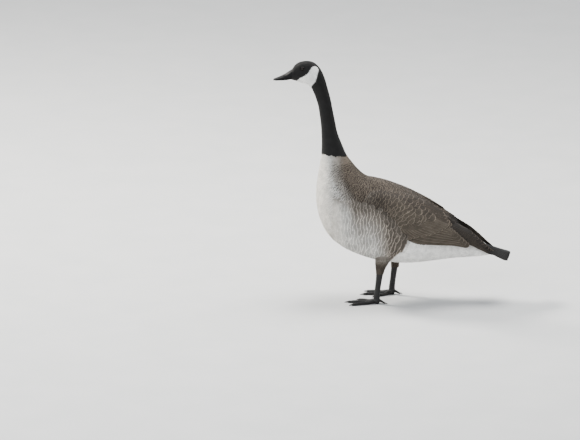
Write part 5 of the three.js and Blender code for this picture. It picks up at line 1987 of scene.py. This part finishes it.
def claws(name, leg):
    hx, hy, hz = leg["heel"]

    def claw(x, y, z, dx, dy, length, radius):
        f = np.linspace(0, 1, 15)
        r = radius * np.sqrt(1 - f * 0.985)
        drop = 1.5 * f * f
        k = 2 * np.pi * np.arange(18) / 18
        return np.stack(
            [
                x + dx * length * f[:, None] - dy * r[:, None] * np.cos(k),
                y + dy * length * f[:, None] + dx * r[:, None] * np.cos(k),
                np.maximum(z + r[:, None] * np.sin(k) * 0.85 - drop[:, None], 0.35),
            ],
            -1,
        )

    way = lambda deg: (math.sin(math.radians(deg) - TOE_IN), -math.cos(math.radians(deg) - TOE_IN))
    made = []
    for i, (toe, deg, ln) in enumerate(TOES):
        dx, dy = way(deg)
        made.append((toe, claw(hx + dx * (ln - 1.2), hy + dy * (ln - 1.2), 2.95, dx, dy, (11 if i == 1 else 9) + 1.5, 2.3)))
    dx, dy = way(180)
    reach = 4 + HIND_TOE["length"] - 1
    made.append(("hind", claw(hx + dx * reach, hy + dy * reach, 2.5, dx, dy, 8.2, 1.7)))
    for toe, P in made:
        obj = solid_object("claw_horn_%s_%s" % (toe, name), [flipped(P, leg["side"])])
        obj.data.polygons.foreach_set("use_smooth", np.ones(len(obj.data.polygons), bool))
        obj.data.materials.append(CLAW_MAT)
        ride(obj, ["claw_%s_%s" % (toe, name)])


for name, leg in LEGS.items():
    claws(name, leg)


# ---- Floor, light and camera -------------------------------------------------------------------------
def floor():
    me = bpy.data.meshes.new("floor")
    s = 30.0
    me.from_pydata([(-s, -s, 0), (s, -s, 0), (s, s, 0), (-s, s, 0)], [], [(0, 1, 2, 3)])
    obj = bpy.data.objects.new("floor", me)
    bpy.context.scene.collection.objects.link(obj)
    m = Nodes("floor_paper_painted_light")
    fine = m.noise(8.0, 2.0)
    paper = m.mix(m.range(fine, 0.2, 0.8), (0.60, 0.605, 0.60), (0.63, 0.63, 0.625))
    # painted light: the paper is painted paler far from the bird, in place of the lamp light that falls off there, so
    # that it runs out into the wall without an edge
    far_painted_light = m.new("ShaderNodeVectorMath", operation="LENGTH")
    m.link(m.new("ShaderNodeTexCoord").outputs["Object"], far_painted_light.inputs[0])
    m.link(m.mix(m.range(far_painted_light.outputs["Value"], 1.5, 9.0), paper, (0.93, 0.93, 0.925)), m.bsdf.inputs["Base Color"])
    m.bsdf.inputs["Roughness"].default_value = 0.85
    me.materials.append(m.mat)


floor()

world = bpy.data.worlds.new("studio")
bpy.context.scene.world = world
world.use_nodes = True
bg = next(n for n in world.node_tree.nodes if n.type == "BACKGROUND")
bg.inputs["Color"].default_value = (0.86, 0.90, 0.95, 1)
bg.inputs["Strength"].default_value = 0.62
bpy.context.scene.view_settings.look = "AgX - Medium High Contrast"


def area(name, place, target, size, power, colour=(1, 1, 1)):
    light = bpy.data.lights.new(name, "AREA")
    light.shape, light.size, light.energy, light.color = "DISK", size, power, colour
    obj = bpy.data.objects.new(name, light)
    obj.location = place
    obj.rotation_mode = "QUATERNION"
    obj.rotation_quaternion = (Vector(target) - Vector(place)).to_track_quat("-Z", "Y")
    bpy.context.scene.collection.objects.link(obj)


area("key", (-1.3, -2.6, 2.7), (0, 0, 0.3), 0.9, 170, (1.0, 0.97, 0.92))
area("fill", (2.8, -1.9, 2.2), (0, 0, 0.3), 2.2, 62, (0.95, 0.975, 1.0))
area("top", (-0.7, 0.8, 3.1), (0, 0, 0.2), 2.0, 95, (1.0, 0.985, 0.96))

RISE = math.radians(15)
FOCAL, AWAY = 4800.0, 12.0
look = Vector((-math.cos(RISE), 0, -math.sin(RISE)))
right = Vector((0, 1, 0))
up = Vector((-math.sin(RISE), 0, math.cos(RISE)))
x_right = AWAY * (391.6 - 290) / FOCAL
y_up = -AWAY * (298.9 - 220) / FOCAL
cam = bpy.data.objects.new("camera", bpy.data.cameras.new("camera"))
cam.data.sensor_width = 36.0
cam.data.lens = FOCAL * 36.0 / 580.0
cam.data.clip_end = 200
cam.location = -(right * x_right + up * y_up + look * AWAY)
cam.rotation_mode = "QUATERNION"
cam.rotation_quaternion = look.to_track_quat("-Z", "Y")
bpy.context.scene.collection.objects.link(cam)
bpy.context.scene.camera = cam
